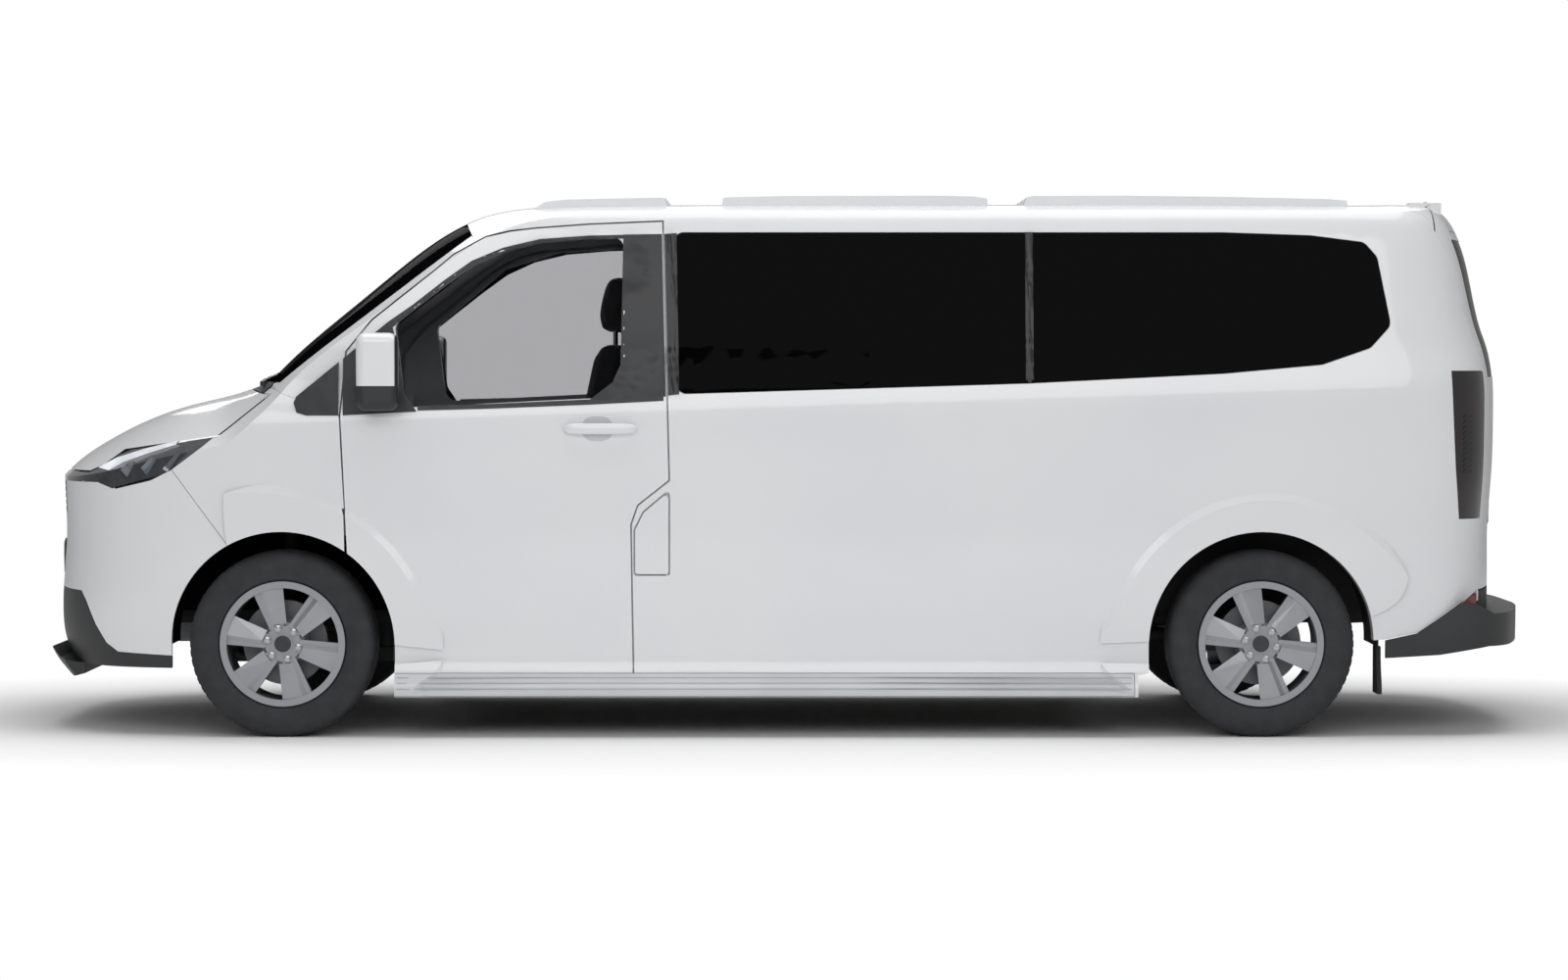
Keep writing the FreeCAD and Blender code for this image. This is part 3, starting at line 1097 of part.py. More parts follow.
pipe_parts = [
    bar("pipe", ("pipe_front", "pipe_y", "pipe_z"), ("silencer_front", "pipe_y", "pipe_z"),
        "pipe_radius"),
    bar("silencer", ("silencer_front", "pipe_y", "pipe_z"), ("silencer_rear", "pipe_y", "pipe_z"),
        "silencer_radius"),
]
for tag, x in (("front", "tank_front"), ("rear", "silencer_front + trailing_arm_length / 2")):
    pipe_parts.append(bar(f"hanger_{tag}", (x, "pipe_y", "pipe_z"), (x, "pipe_y", floor_under),
        "pipe_hanger_radius"))
joined("exhaust", pipe_parts)

# Tyres: rings with flat facets, one corner of the ring resting on the ground
TYRE_SIDES = 64
tyre_radius = size("tyre_diameter") / 2
tyre_half = size("tyre_width") / 2
rim_radius = size("rim_diameter") / 2
lip_end = size("rim_lip_inset") + size("rim_lip_width")
TYRE_HALF_PROFILE = [
    (lip_end + size("rim_lip") + size("lip_clearance"), rim_radius - size("bead_depth")),
    (lip_end + size("lip_clearance"), rim_radius + size("rim_lip")),
    (0, rim_radius + size("tyre_bulge_height")),
    (size("tyre_shoulder_drop"), tyre_radius - size("tyre_shoulder_inset")),
    (size("tyre_shoulder_drop") + size("tyre_shoulder_inset"), tyre_radius),
]
tyre_profile = [(u - tyre_half, r) for u, r in TYRE_HALF_PROFILE]
tyre_profile += [(-u, r) for u, r in reversed(tyre_profile)]


def faceted_ring(profile, sides):
    """A solid ring about the Y axis with flat facets, from a profile of places across and radii."""
    rows = []
    for step in range(sides):
        turn = 2 * math.pi * step / sides
        rows.append([Vector(r * math.sin(turn), across_y, -r * math.cos(turn)) for across_y,
            r in profile])
    faces = []
    for here, row in enumerate(rows):
        following = rows[(here + 1) % sides]
        for corner in range(len(profile)):
            other = (corner + 1) % len(profile)
            points = [row[corner], row[other], following[other], following[corner]]
            faces.append(Part.Face(Part.makePolygon(points + points[:1])))
    skin = Part.makeCompound(faces)
    skin.sewShape()
    ring = Part.makeSolid(skin.Shells[0])
    if ring.Volume < 0:
        ring.reverse()
    return ring


tyre_ring = faceted_ring(tyre_profile, TYRE_SIDES)
for end, axle_x in arch_centres.items():
    for tag, side_sign in (("left", -1), ("right", 1)):
        tyre = node(f"tyre_{end}_{tag}", tyre_ring)
        tyre.Placement = FreeCAD.Placement(Vector(axle_x, side_sign * wheel_y, wheel_z),
            FreeCAD.Rotation())

# Rims and brake discs: turned parts and patterned spokes, drawn with X along the axle from the vehicle's middle
inner_plane = "track_width / 2 - tyre_width / 2"
middle_plane = "track_width / 2"
lip_low = f"{inner_plane} + rim_lip_inset"
lip_high = f"{middle_plane} + tyre_width / 2 - rim_lip_inset"
barrel_radius = "rim_diameter / 2 - bead_depth - seat_clearance"
BARREL_PROFILE = [
    (lip_low, "rim_diameter / 2 - bead_depth - rim_wall"), (lip_low, "rim_diameter / 2 + rim_lip"),
    (f"{lip_low} + rim_lip_width", "rim_diameter / 2 + rim_lip"),
    (f"{lip_low} + rim_lip_width", barrel_radius),
    (f"{lip_high} - rim_lip_width", barrel_radius),
    (f"{lip_high} - rim_lip_width", "rim_diameter / 2 + rim_lip"),
    (lip_high, "rim_diameter / 2 + rim_lip"), (lip_high, "rim_diameter / 2 - bead_depth - rim_wall"),
]
hub_low = f"{middle_plane} + hub_offset"
hub_high = f"{middle_plane} + hub_offset + hub_thickness"
cap_low = f"{middle_plane} + cap_offset"
cap_high = f"{middle_plane} + cap_offset + cap_thickness"
HUB_PROFILE = [
    (hub_low, "hub_bore_radius"), (cap_low, "hub_bore_radius"), (cap_low, "0"), (cap_high, "0"),
    (cap_high, "cap_radius"), (hub_high, "cap_radius"), (hub_high, "hub_radius - hub_dome_step"),
    (f"{hub_high} - hub_dome_step", "hub_radius"), (hub_low, "hub_radius"),
]
hat_inner = "disc_hat_radius - disc_hat_wall"
disc_step = f"{middle_plane} + disc_thickness"
disc_face = f"{middle_plane} + disc_face_offset"
DISC_PROFILE = [
    (f"{middle_plane} - disc_thickness", "disc_inner_radius"), (middle_plane, "disc_inner_radius"),
    (middle_plane, hat_inner), (disc_step, hat_inner), (disc_step, "hub_bore_radius"),
    (disc_face, "hub_bore_radius"), (disc_face, "disc_hat_radius"), (middle_plane, "disc_hat_radius"),
    (middle_plane, "disc_radius"), (f"{middle_plane} - disc_thickness", "disc_radius"),
]
SPOKE_PROFILE = [
    ("spoke_inner_radius * sin(spoke_root_lead)", "spoke_inner_radius * cos(spoke_root_lead)"),
    ("spoke_outer_radius * sin(spoke_lead)", "spoke_outer_radius * cos(spoke_lead)"),
    ("spoke_outer_radius * sin(spoke_trail)", "spoke_outer_radius * cos(spoke_trail)"),
    ("spoke_inner_radius * sin(spoke_root_trail)", "spoke_inner_radius * cos(spoke_root_trail)"),
]
SPOKES = 6
AXIS_X, PLANE_XZ, PLANE_YZ = 0, 4, 5


def profile_sketch(body, name, plane, profile):
    """A closed outline on one of a body's planes, each corner held by two distances from the centre."""
    sketch = body.newObject("Sketcher::SketchObject", name)
    sketch.AttachmentSupport = (body.Origin.OriginFeatures[plane], "")
    sketch.MapMode = "FlatFace"
    corners = [Vector(worth(first), worth(second), 0) for first, second in profile]
    count = len(corners)
    for here, corner in enumerate(corners):
        sketch.addGeometry(Part.LineSegment(corner, corners[(here + 1) % count]), False)
    for here in range(count):
        sketch.addConstraint(Sketcher.Constraint("Coincident", here, 2, (here + 1) % count, 1))
    for here, (corner, words) in enumerate(zip(corners, profile)):
        for kind, value, expression in (("DistanceX", corner.x, words[0]),
            ("DistanceY", corner.y, words[1])):
            index = sketch.addConstraint(Sketcher.Constraint(kind, -1, 1, here, 1, value))
            if value:
                sketch.setExpression(f"Constraints[{index}]", bound(expression))
    return sketch


def revolved(body, name, profile):
    """A solid turned about the body's X axis."""
    sketch = profile_sketch(body, f"{name}_outline", PLANE_XZ, profile)
    turned = body.newObject("PartDesign::Revolution", name)
    turned.Profile = sketch
    turned.ReferenceAxis = (body.Origin.OriginFeatures[AXIS_X], [""])
    turned.Angle = 360
    return turned


for end, axle_words in (("front", front_axle), ("rear", rear_axle)):
    for tag, side_sign in (("left", -1), ("right", 1)):
        place = f"{end}_{tag}"
        halves = []
        for kind in ("wheel", "disc"):
            body = doc.addObject("PartDesign::Body", f"{kind}_body_{place}")
            body.Placement = FreeCAD.Placement(Vector(),
                FreeCAD.Rotation(Vector(0, 0, 1), side_sign * 90))
            body.setExpression("Placement.Base.x", bound(axle_words))
            body.setExpression("Placement.Base.z", bound(axle_height))
            halves.append(body)
        wheel_body, disc_body = halves
        revolved(wheel_body, f"barrel_{place}", BARREL_PROFILE)
        revolved(wheel_body, f"hub_{place}", HUB_PROFILE)
        spoke_sketch = profile_sketch(wheel_body, f"spoke_outline_{place}", PLANE_YZ, SPOKE_PROFILE)
        spoke_sketch.setExpression("AttachmentOffset.Base.z", bound(f"{middle_plane} + spoke_offset"))
        spoke = wheel_body.newObject("PartDesign::Pad", f"spoke_{place}")
        spoke.Profile = spoke_sketch
        spoke.setExpression("Length", bound("spoke_thickness"))
        pattern = wheel_body.newObject("PartDesign::PolarPattern", f"spokes_{place}")
        pattern.Originals = [spoke]
        pattern.Axis = (wheel_body.Origin.OriginFeatures[AXIS_X], [""])
        pattern.Angle = 360
        pattern.Occurrences = SPOKES
        wheel_body.Tip = pattern
        revolved(disc_body, f"disc_{place}", DISC_PROFILE)
        pair = doc.addObject("Part::Compound", f"rim_{place}")
        pair.Links = [wheel_body, disc_body]
        keep(f"rim_{place}", pair)

# Dashboard across the cabin with the steering column's shroud
DASH_OUTLINE = [
    (-1529, 780), (-1440, 800), (-1410, 900), (-1410, 1040), (-1470, 1140), (-1600, 1185), (-1819, 1180),
    (-1819, 1150), (-1529, 1150),
]
DASH_HALF_WIDTH = 850
DASH_INSET = 85
steer_centre = Vector(size("steering_x"), size("steering_y"), size("steering_z"))
tilt = math.radians(size("steering_tilt"))
steer_axis = Vector(math.sin(tilt), 0, math.cos(tilt))
shroud_start = steer_centre - steer_axis * size("shroud_start")
shroud = Part.makeCylinder(size("shroud_radius"), size("shroud_length"), shroud_start, steer_axis)
shroud_bore_start = steer_centre - steer_axis * size("shroud_bore_start")
column_room = size("steering_column_radius") + clearance
shroud_bore = Part.makeCylinder(column_room, size("shroud_bore_length"), shroud_bore_start, steer_axis)
dash = prism([Vector(x, 0, z) for x, z in DASH_OUTLINE], -DASH_HALF_WIDTH, DASH_HALF_WIDTH)
front_of_bulkhead = block((nose_x, -far_y, 0), (firewall_x, far_y, size("bulkhead_top")))
dash = dash.fuse(shroud.cut(front_of_bulkhead)).cut(shroud_bore).common(hull(DASH_INSET, wall))
node("dashboard", largest(dash))

# Steering wheel: a round rim, hub, column end and three round spokes


def column_spot(distance):
    """A point on the steering column, at a distance down from the rim's middle."""
    return (f"steering_x - ({distance}) * sin(steering_tilt)", "steering_y",
        f"steering_z - ({distance}) * cos(steering_tilt)")


spoke_reach = "(steering_rim_radius - steering_rim_tube)"
rim = doc.addObject("Part::Torus", "steering_rim")
rim.Placement = FreeCAD.Placement(Vector(), FreeCAD.Rotation(Vector(0, 0, 1), steer_axis))
rim.setExpression("Radius1", bound("steering_rim_radius - steering_rim_tube"))
rim.setExpression("Radius2", bound("steering_rim_tube"))
for axis, words in zip("xyz", column_spot("0")):
    rim.setExpression(f"Placement.Base.{axis}", bound(words))
spoke_x, spoke_y, spoke_z = column_spot("steering_spoke_drop")
low_end = (f"{spoke_x} + {spoke_reach} * cos(steering_tilt)", spoke_y,
    f"{spoke_z} - {spoke_reach} * sin(steering_tilt)")
joined("steering_wheel", [
    rim,
    bar("steering_hub", column_spot("steering_hub_height"), column_spot("0"), "steering_hub_radius"),
    bar("steering_column", column_spot("steering_column_length"), column_spot("0"),
        "steering_column_radius"),
    bar("cross_spoke", (spoke_x, f"steering_y - {spoke_reach}", spoke_z),
        (spoke_x, f"steering_y + {spoke_reach}", spoke_z), "steering_spoke_radius"),
    bar("low_spoke", (spoke_x, spoke_y, spoke_z), low_end, "steering_spoke_radius"),
])

# Seats: cushion and reclined back in one outline, with headrests on stalks, on box frames
SEAT_OUTLINE = [
    (-470, -120), (-480, -10), (-440, 5), (-300, -18), (-20, -30), (70, 300), (130, 560), (175, 570),
    (215, 540), (190, 300), (110, -60), (60, -130),
]
HEADREST_OUTLINE = [(118, 590), (150, 745), (235, 730), (215, 590)]
FRONT_HEADREST_OUTLINE = [(118, 590), (150, 790), (235, 775), (215, 590)]
STALK_FOOT = (160, 540)
STALK_TOP = (172, 620)


def seat(back_x, y, width, headrests, headrest_outline, rise):
    """A seat facing forward and the frame that it stands on."""
    top = floor_top + size("seat_height") + rise
    half = width / 2
    outline = [Vector(back_x + x, 0, top + z) for x, z in SEAT_OUTLINE]
    parts = []
    head_half = size("headrest_width") / 2
    for head_y in headrests:
        head = [Vector(back_x + x, 0, top + z) for x, z in headrest_outline]
        parts.append(prism(head, y + head_y - head_half, y + head_y + head_half,
            size("headrest_corner_radius")))
        for stalk_y in (head_y - size("headrest_stalk_y"), head_y + size("headrest_stalk_y")):
            foot = (back_x + STALK_FOOT[0], y + stalk_y, top + STALK_FOOT[1])
            tip = (back_x + STALK_TOP[0], y + stalk_y, top + STALK_TOP[1])
            parts.append(rod(foot, tip, size("headrest_stalk_radius")))
    soft = prism(outline, y - half, y + half, size("seat_corner_radius")).fuse(parts)
    inset = size("seat_frame_inset")
    frame = block((back_x - size("seat_frame_front"), y - half + inset, floor_top),
                  (back_x - size("seat_frame_rear"), y + half - inset,
                      top - size("seat_underside") - clearance))
    return largest(soft), frame


rise = size("rear_seat_rise")
seat_x, seat_y, seat_width = size("front_seat_x"), size("front_seat_y"), size("front_seat_width")
front_pair = [seat(seat_x, y, seat_width, [0], FRONT_HEADREST_OUTLINE, 0) for y in (-seat_y, seat_y)]
head_y = size("second_head_y")
second = seat(size("second_row_x"), 0, size("second_row_width"), [-head_y, 0, head_y], HEADREST_OUTLINE,
    rise)
head_y = size("third_head_y")
third = seat(size("third_row_x"), 0, size("third_row_width"), [-head_y, 0, head_y], HEADREST_OUTLINE,
    rise)
node("front_seats", Part.makeCompound([soft for soft, frame in front_pair]))
node("second_row_seats", second[0])
node("third_row_seats", third[0])
node("seat_frames", Part.makeCompound([frame for soft, frame in front_pair + [second, third]]))

# Mudflaps hang behind the front wheels and on both sides of the rear wheels
FLAP_Y = (-985, -790)
FLAP_BOTTOM = 150
liner_front = front_axle_x + liner_radius - clearance
flap_places = [
    (liner_front - size("front_flap_thickness"), liner_front,
        size("liner_bottom") + size("front_flap_lap")),
    (spot((1155, 0)).x, spot((1155, 0)).x + size("flap_thickness"), floor_low - clearance),
    (spot((1410, 0)).x, spot((1410, 0)).x + size("flap_thickness"), size("liner_bottom") - clearance),
]
flaps = []
for front_x, rear_x, top_z in flap_places:
    flaps.append(largest(block((front_x, FLAP_Y[0], FLAP_BOTTOM),
        (rear_x, FLAP_Y[1], top_z)).common(cabin_fit)))
node("mudflaps", Part.makeCompound(on_both_sides(flaps)))

# Interior mirror on a stalk from the windscreen
MIRROR_GLASS = ((-1300, -120, 1640), (-1270, 120, 1710))
MIRROR_STALK = ((-1285, 0, 1690), (-1360, 0, 1800))
mirror_stalk = rod(*MIRROR_STALK, size("headrest_stalk_radius")).common(glass_seat)
node("interior_mirror", largest(block(*MIRROR_GLASS).fuse(mirror_stalk)))

doc.recompute()
os.makedirs("parts", exist_ok=True)
for item in doc.Objects:
    if {"Invalid", "Error"} & set(item.State):
        raise RuntimeError(f"{item.Name} did not build: {item.State}")
for name, feature in nodes.items():
    shape = feature.Shape
    if shape.isNull() or not shape.isValid():
        raise RuntimeError(f"{name} is not a valid shape")
    shape.exportStep(f"parts/{name}.step")
print(f"{len(nodes)} pieces written")
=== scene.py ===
"""A white long-wheelbase minibus with a glazed cabin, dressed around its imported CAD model."""

import math

import bmesh
import bpy
from mathutils import Matrix, Vector
from mathutils.bvhtree import BVHTree


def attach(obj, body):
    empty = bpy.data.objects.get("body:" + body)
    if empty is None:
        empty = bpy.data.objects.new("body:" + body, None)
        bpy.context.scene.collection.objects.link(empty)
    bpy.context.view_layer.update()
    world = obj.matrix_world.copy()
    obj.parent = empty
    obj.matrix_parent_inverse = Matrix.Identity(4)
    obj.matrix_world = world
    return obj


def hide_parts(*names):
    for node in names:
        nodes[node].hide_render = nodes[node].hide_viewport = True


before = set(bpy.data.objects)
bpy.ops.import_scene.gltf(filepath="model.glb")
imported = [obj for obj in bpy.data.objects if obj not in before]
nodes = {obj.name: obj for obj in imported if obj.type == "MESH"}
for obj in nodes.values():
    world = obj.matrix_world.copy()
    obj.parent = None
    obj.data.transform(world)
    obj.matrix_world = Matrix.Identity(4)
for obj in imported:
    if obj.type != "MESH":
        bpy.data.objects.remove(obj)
scene = bpy.context.scene
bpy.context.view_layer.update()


def placed(name, data):
    """A new object in the scene."""
    made = bpy.data.objects.new(name, data)
    scene.collection.objects.link(made)
    return made


# Camera: about sixteen metres to the left of the vehicle, a little under eye height, with a long lens,
# as the photograph was framed. It looks down by two degrees.
PHOTO_WIDTH = 1600
SENSOR_WIDTH = 36.0
CAMERA_PLACE = (-0.0064, -16.22, 1.3855)
CAMERA_PIXELS = 4361
HORIZON_PIXELS = 143
camera_data = bpy.data.cameras.new("studio_camera")
camera_data.sensor_width = SENSOR_WIDTH
camera_data.lens = SENSOR_WIDTH * CAMERA_PIXELS / PHOTO_WIDTH
camera = placed("studio_camera", camera_data)
camera.location = CAMERA_PLACE
camera.rotation_euler = (math.pi / 2 - math.atan(HORIZON_PIXELS / CAMERA_PIXELS), 0, 0)
scene.camera = camera
scene.view_settings.view_transform = "Standard"


def linear(code):
    """An sRGB hex colour as the linear one that shaders take."""
    channels = [int(code[place:place + 2], 16) / 255 for place in (0, 2, 4)]
    spread = [c / 12.92 if c <= 0.04045 else ((c + 0.055) / 1.055) ** 2.4 for c in channels]
    return (*spread, 1.0)


def add(tree, kind, settings=None, links=None):
    """Adds one node to a tree, with its settings and the links into its inputs."""
    made = tree.nodes.new(kind)
    settings = dict(settings or {})
    for name in ("operation", "data_type", "mode", "wave_type", "feature", "blend_type"):
        if name in settings:
            setattr(made, name, settings.pop(name))
    for name, value in settings.items():
        if isinstance(name, int) or name in made.inputs:
            made.inputs[name].default_value = value
        else:
            setattr(made, name, value)
    for name, source in (links or {}).items():
        tree.links.new(source, made.inputs[name])
    return made


# Studio: a white cove with a large soft light overhead, one on the camera's side and a faint one behind.
# The floor keeps the vehicle's shadow and turns into the plain white backdrop a few metres out.
WORLD_LEVEL = 0.30
FLOOR_HALF = 60.0
FLOOR_COLOUR = "FAFAFA"
SHADOW_REACH = (2.95, 1.5)
FADE_START = 1.0
FADE_END = 1.6


def seen_by_camera(tree):
    """Nodes that give one where the camera looks, straight or through glass, and zero for light rays."""
    rays = add(tree, "ShaderNodeLightPath")
    return add(tree, "ShaderNodeMath", {"operation": "MAXIMUM"},
        {0: rays.outputs["Is Camera Ray"], 1: rays.outputs["Is Transmission Ray"]})


world = bpy.data.worlds.new("studio_world")
scene.world = world
world.use_nodes = True
tree = world.node_tree
tree.nodes.clear()
seen = seen_by_camera(tree)
soft = add(tree, "ShaderNodeBackground", {"Color": linear("FFFFFF"), "Strength": WORLD_LEVEL})
plain = add(tree, "ShaderNodeBackground", {"Color": linear("FFFFFF"), "Strength": 1.0})
mixed = add(tree, "ShaderNodeMixShader", {}, {"Fac": seen.outputs[0], 1: soft.outputs[0],
    2: plain.outputs[0]})
add(tree, "ShaderNodeOutputWorld", {}, {"Surface": mixed.outputs[0]})

floor_mesh = bpy.data.meshes.new("studio_floor")
corners = [(-FLOOR_HALF, -FLOOR_HALF, 0), (FLOOR_HALF, -FLOOR_HALF, 0), (FLOOR_HALF, FLOOR_HALF, 0),
    (-FLOOR_HALF, FLOOR_HALF, 0)]
floor_mesh.from_pydata(corners, [], [(0, 1, 2, 3)])
floor = placed("studio_floor", floor_mesh)


def blank_material(name):
    """A material with an empty node tree, and that tree."""
    made = bpy.data.materials.new(name)
    made.use_nodes = True
    made.node_tree.nodes.clear()
    return made, made.node_tree


def place_in(tree):
    """Two nodes that give the place of a shaded point along X, Y and Z, in metres."""
    place = add(tree, "ShaderNodeTexCoord")
    return add(tree, "ShaderNodeSeparateXYZ", {}, {0: place.outputs["Object"]})


floor_paint, tree = blank_material("matt_white_studio_floor")
seen = seen_by_camera(tree)
parted = place_in(tree)
along = add(tree, "ShaderNodeMath", {"operation": "DIVIDE", 1: SHADOW_REACH[0]}, {0: parted.outputs["X"]})
across = add(tree, "ShaderNodeMath", {"operation": "DIVIDE", 1: SHADOW_REACH[1]}, {0: parted.outputs["Y"]})
both = add(tree, "ShaderNodeCombineXYZ", {}, {0: along.outputs[0], 1: across.outputs[0]})
away = add(tree, "ShaderNodeVectorMath", {"operation": "LENGTH"}, {0: both.outputs[0]})
fade = add(tree, "ShaderNodeMapRange", {"From Min": FADE_START, "From Max": FADE_END},
    {"Value": away.outputs["Value"]})
share = add(tree, "ShaderNodeMath", {"operation": "MULTIPLY"}, {0: seen.outputs[0], 1: fade.outputs[0]})
matt = add(tree, "ShaderNodeBsdfDiffuse", {"Color": linear(FLOOR_COLOUR)})
bright = add(tree, "ShaderNodeEmission", {"Color": linear("FFFFFF"), "Strength": 1.0})
mixed = add(tree, "ShaderNodeMixShader", {}, {"Fac": share.outputs[0], 1: matt.outputs[0],
    2: bright.outputs[0]})
add(tree, "ShaderNodeOutputMaterial", {}, {"Surface": mixed.outputs[0]})
floor_mesh.materials.append(floor_paint)

# Each lamp's name, place, aim, width, height and watts.
LAMPS = [("overhead_softbox", (0.0, -1.0, 7.5), (0.0, 0.0, 0.0), 9.0, 5.0, 330),
    ("side_softbox", (0.0, -10.0, 4.5), (0.0, 0.0, 0.9), 11.0, 4.0, 290),
    ("far_softbox", (0.0, 9.0, 5.0), (0.0, 0.0, 1.0), 9.0, 4.0, 150)]
for name, place, aim, wide, high, watts in LAMPS:
    lamp_data = bpy.data.lights.new(name, "AREA")
    lamp_data.shape = "RECTANGLE"
    lamp_data.size = wide
    lamp_data.size_y = high
    lamp_data.energy = watts
    lamp = placed(name, lamp_data)
    lamp.location = place
    lamp.rotation_euler = (Vector(aim) - Vector(place)).to_track_quat("-Z", "Y").to_euler()


GRAIN_STRENGTH = 0.35
GRAIN_DETAIL = 3.0
DRIFT_DETAIL = 4.0
DRIFT_START = 0.35
DRIFT_END = 0.7


def finish(name, colour, settings, grain=None, variation=None):
    """A material with one principled shader. grain is the width of its surface grain and its depth in
    metres; variation is a second colour that the first one drifts to, and the width of that drift."""
    made, tree = blank_material(name)
    shader = add(tree, "ShaderNodeBsdfPrincipled", {"Base Color": linear(colour), **settings})
    place = add(tree, "ShaderNodeTexCoord")
    if grain:
        width, depth = grain
        noise = add(tree, "ShaderNodeTexNoise", {"Scale": 1 / width, "Detail": GRAIN_DETAIL},
            {"Vector": place.outputs["Object"]})
        bump = add(tree, "ShaderNodeBump", {"Strength": GRAIN_STRENGTH, "Distance": depth},
            {"Height": noise.outputs["Fac"]})
        tree.links.new(bump.outputs[0], shader.inputs["Normal"])
    if variation:
        second, width = variation
        noise = add(tree, "ShaderNodeTexNoise", {"Scale": 1 / width, "Detail": DRIFT_DETAIL},
            {"Vector": place.outputs["Object"]})
        ramp = add(tree, "ShaderNodeValToRGB", {}, {"Fac": noise.outputs["Fac"]})
        ramp.color_ramp.elements[0].position = DRIFT_START
        ramp.color_ramp.elements[0].color = linear(colour)
        ramp.color_ramp.elements[1].position = DRIFT_END
        ramp.color_ramp.elements[1].color = linear(second)
        tree.links.new(ramp.outputs[0], shader.inputs["Base Color"])
    add(tree, "ShaderNodeOutputMaterial", {}, {"Surface": shader.outputs[0]})
    return made


def coat_nodes(material, *names):
    """Gives CAD nodes one material."""
    for name in names:
        nodes[name].data.materials.clear()
        nodes[name].data.materials.append(material)


# Outer panels: pressed steel, zinc dipped, primed and sprayed with a solid white enamel under a clear
# lacquer, after the doors, bonnet and tailgate are hung.
# The enamel shows a faint orange peel, 3 mm wide, and a lacquer gloss.
white = finish("sprayed_white_enamel", "EAEBED", {"Roughness": 0.34, "Coat Weight": 0.8,
    "Coat Roughness": 0.05, "Specular IOR Level": 0.4}, (0.003, 0.00001), ("E6E7EA", 0.8))
coat_nodes(white, "roof_panel", "body_side_left", "body_side_right", "sliding_door", "front_door_left",
    "front_door_right", "bonnet", "front_wings", "front_bumper", "tailgate", "tailgate_spoiler",
    "fuel_flap")

# Underbody: pressed floor, rails, subframe and axle with a sprayed black wax and stone-chip coat. The
# wax is thick and uneven, so its light is broken up in patches about 20 mm wide.
wax = finish("sprayed_black_underbody_wax", "151516", {"Roughness": 0.62}, (0.02, 0.0006), ("222223", 0.12))
coat_nodes(wax, "floor_pan", "front_subframe", "rear_axle")

# Castings: knuckles in spheroidal iron and an engine block in sand-cast aluminium. Both keep the
# sand's grain of about 1.5 mm, and the iron has a brown bloom of rust.
iron = finish("sand_cast_iron", "3D3B39", {"Roughness": 0.7, "Metallic": 0.7}, (0.0015, 0.0002),
    ("4E433A", 0.06))
block = finish("sand_cast_aluminium", "8A8C8E", {"Roughness": 0.55, "Metallic": 0.9}, (0.0015, 0.0002),
    ("75777A", 0.1))
coat_nodes(iron, "knuckle_left", "knuckle_right")
coat_nodes(block, "engine_block")

# Exhaust and tank: the pipe and silencer are rolled from ferritic stainless steel, which browns with
# heat, and the tank is blow moulded in black polyethylene with a soft, slightly waxy face.
steel = finish("rolled_ferritic_steel", "8C857C", {"Roughness": 0.38, "Metallic": 1.0}, (0.004, 0.00005),
    ("6D5F50", 0.2))
tank = finish("blow_moulded_polyethylene", "1B1B1C", {"Roughness": 0.48}, (0.006, 0.0002), ("232324", 0.15))
coat_nodes(steel, "exhaust")
coat_nodes(tank, "fuel_tank")

# Unpainted outer mouldings: bumper lower parts, scuttle panel and mirror feet, injection moulded in
# black polypropylene. The tool's fine leather-like grain, 1.2 mm wide here so that it shows, dulls it.
black = finish("grained_black_polypropylene", "2B2C2E", {"Roughness": 0.5}, (0.0012, 0.00012),
    ("333436", 0.3))
coat_nodes(black, "scuttle_panel", "front_bumper_trim", "grille", "rear_bumper")
flap_rubber = finish("moulded_black_flap_rubber", "1C1C1D", {"Roughness": 0.68}, (0.004, 0.0002),
    ("262627", 0.05))
coat_nodes(flap_rubber, "mudflaps")

# Cabin mouldings: dashboard, steering wheel, seat frames and interior mirror, in dark charcoal
# polypropylene with a soft grain about 1.5 mm wide.
charcoal = finish("grained_charcoal_cabin_plastic", "232427", {"Roughness": 0.6}, (0.0015, 0.00015),
    ("2B2C30", 0.2))
coat_nodes(charcoal, "dashboard", "steering_wheel", "seat_frames", "interior_mirror")

# Glass: laminated windscreen and toughened door panes in a light neutral tint, and privacy glass that
# is nearly black, with the cabin only faintly seen through it. All have a fired, polished face.


def clear_pane(tree, colour, blend):
    """A shader for clear glass: it lets light through in a tint and mirrors more at a slant."""
    layer = add(tree, "ShaderNodeLayerWeight", {"Blend": blend})
    clear = add(tree, "ShaderNodeBsdfTransparent", {"Color": linear(colour)})
    gloss = add(tree, "ShaderNodeBsdfGlossy", {"Color": linear("FFFFFF"), "Roughness": 0.02})
    return add(tree, "ShaderNodeMixShader", {},
        {"Fac": layer.outputs["Fresnel"], 1: clear.outputs[0], 2: gloss.outputs[0]})


DOOR_TINT = "E6E6E7"
DOOR_GLOSS_BLEND = 0.03
PRIVACY = "040405"
PRIVACY_DEPTH = 0.8
tint, tree = blank_material("light_tinted_float_glass")
mixed = clear_pane(tree, DOOR_TINT, DOOR_GLOSS_BLEND)
add(tree, "ShaderNodeOutputMaterial", {}, {"Surface": mixed.outputs[0]})
coat_nodes(tint, "front_door_glass_left", "front_door_glass_right")

privacy, tree = blank_material("privacy_tinted_toughened_glass")
shaded = add(tree, "ShaderNodeBsdfTransparent", {"Color": linear("3A3638")})
faced = add(tree, "ShaderNodeBsdfPrincipled", {"Base Color": linear(PRIVACY), "Roughness": 0.03,
    "Specular IOR Level": 0.03})
mixed = add(tree, "ShaderNodeMixShader", {"Fac": PRIVACY_DEPTH},
    {1: shaded.outputs[0], 2: faced.outputs[0]})
add(tree, "ShaderNodeOutputMaterial", {}, {"Surface": mixed.outputs[0]})
coat_nodes(privacy, "side_glass", "tailgate_glass")

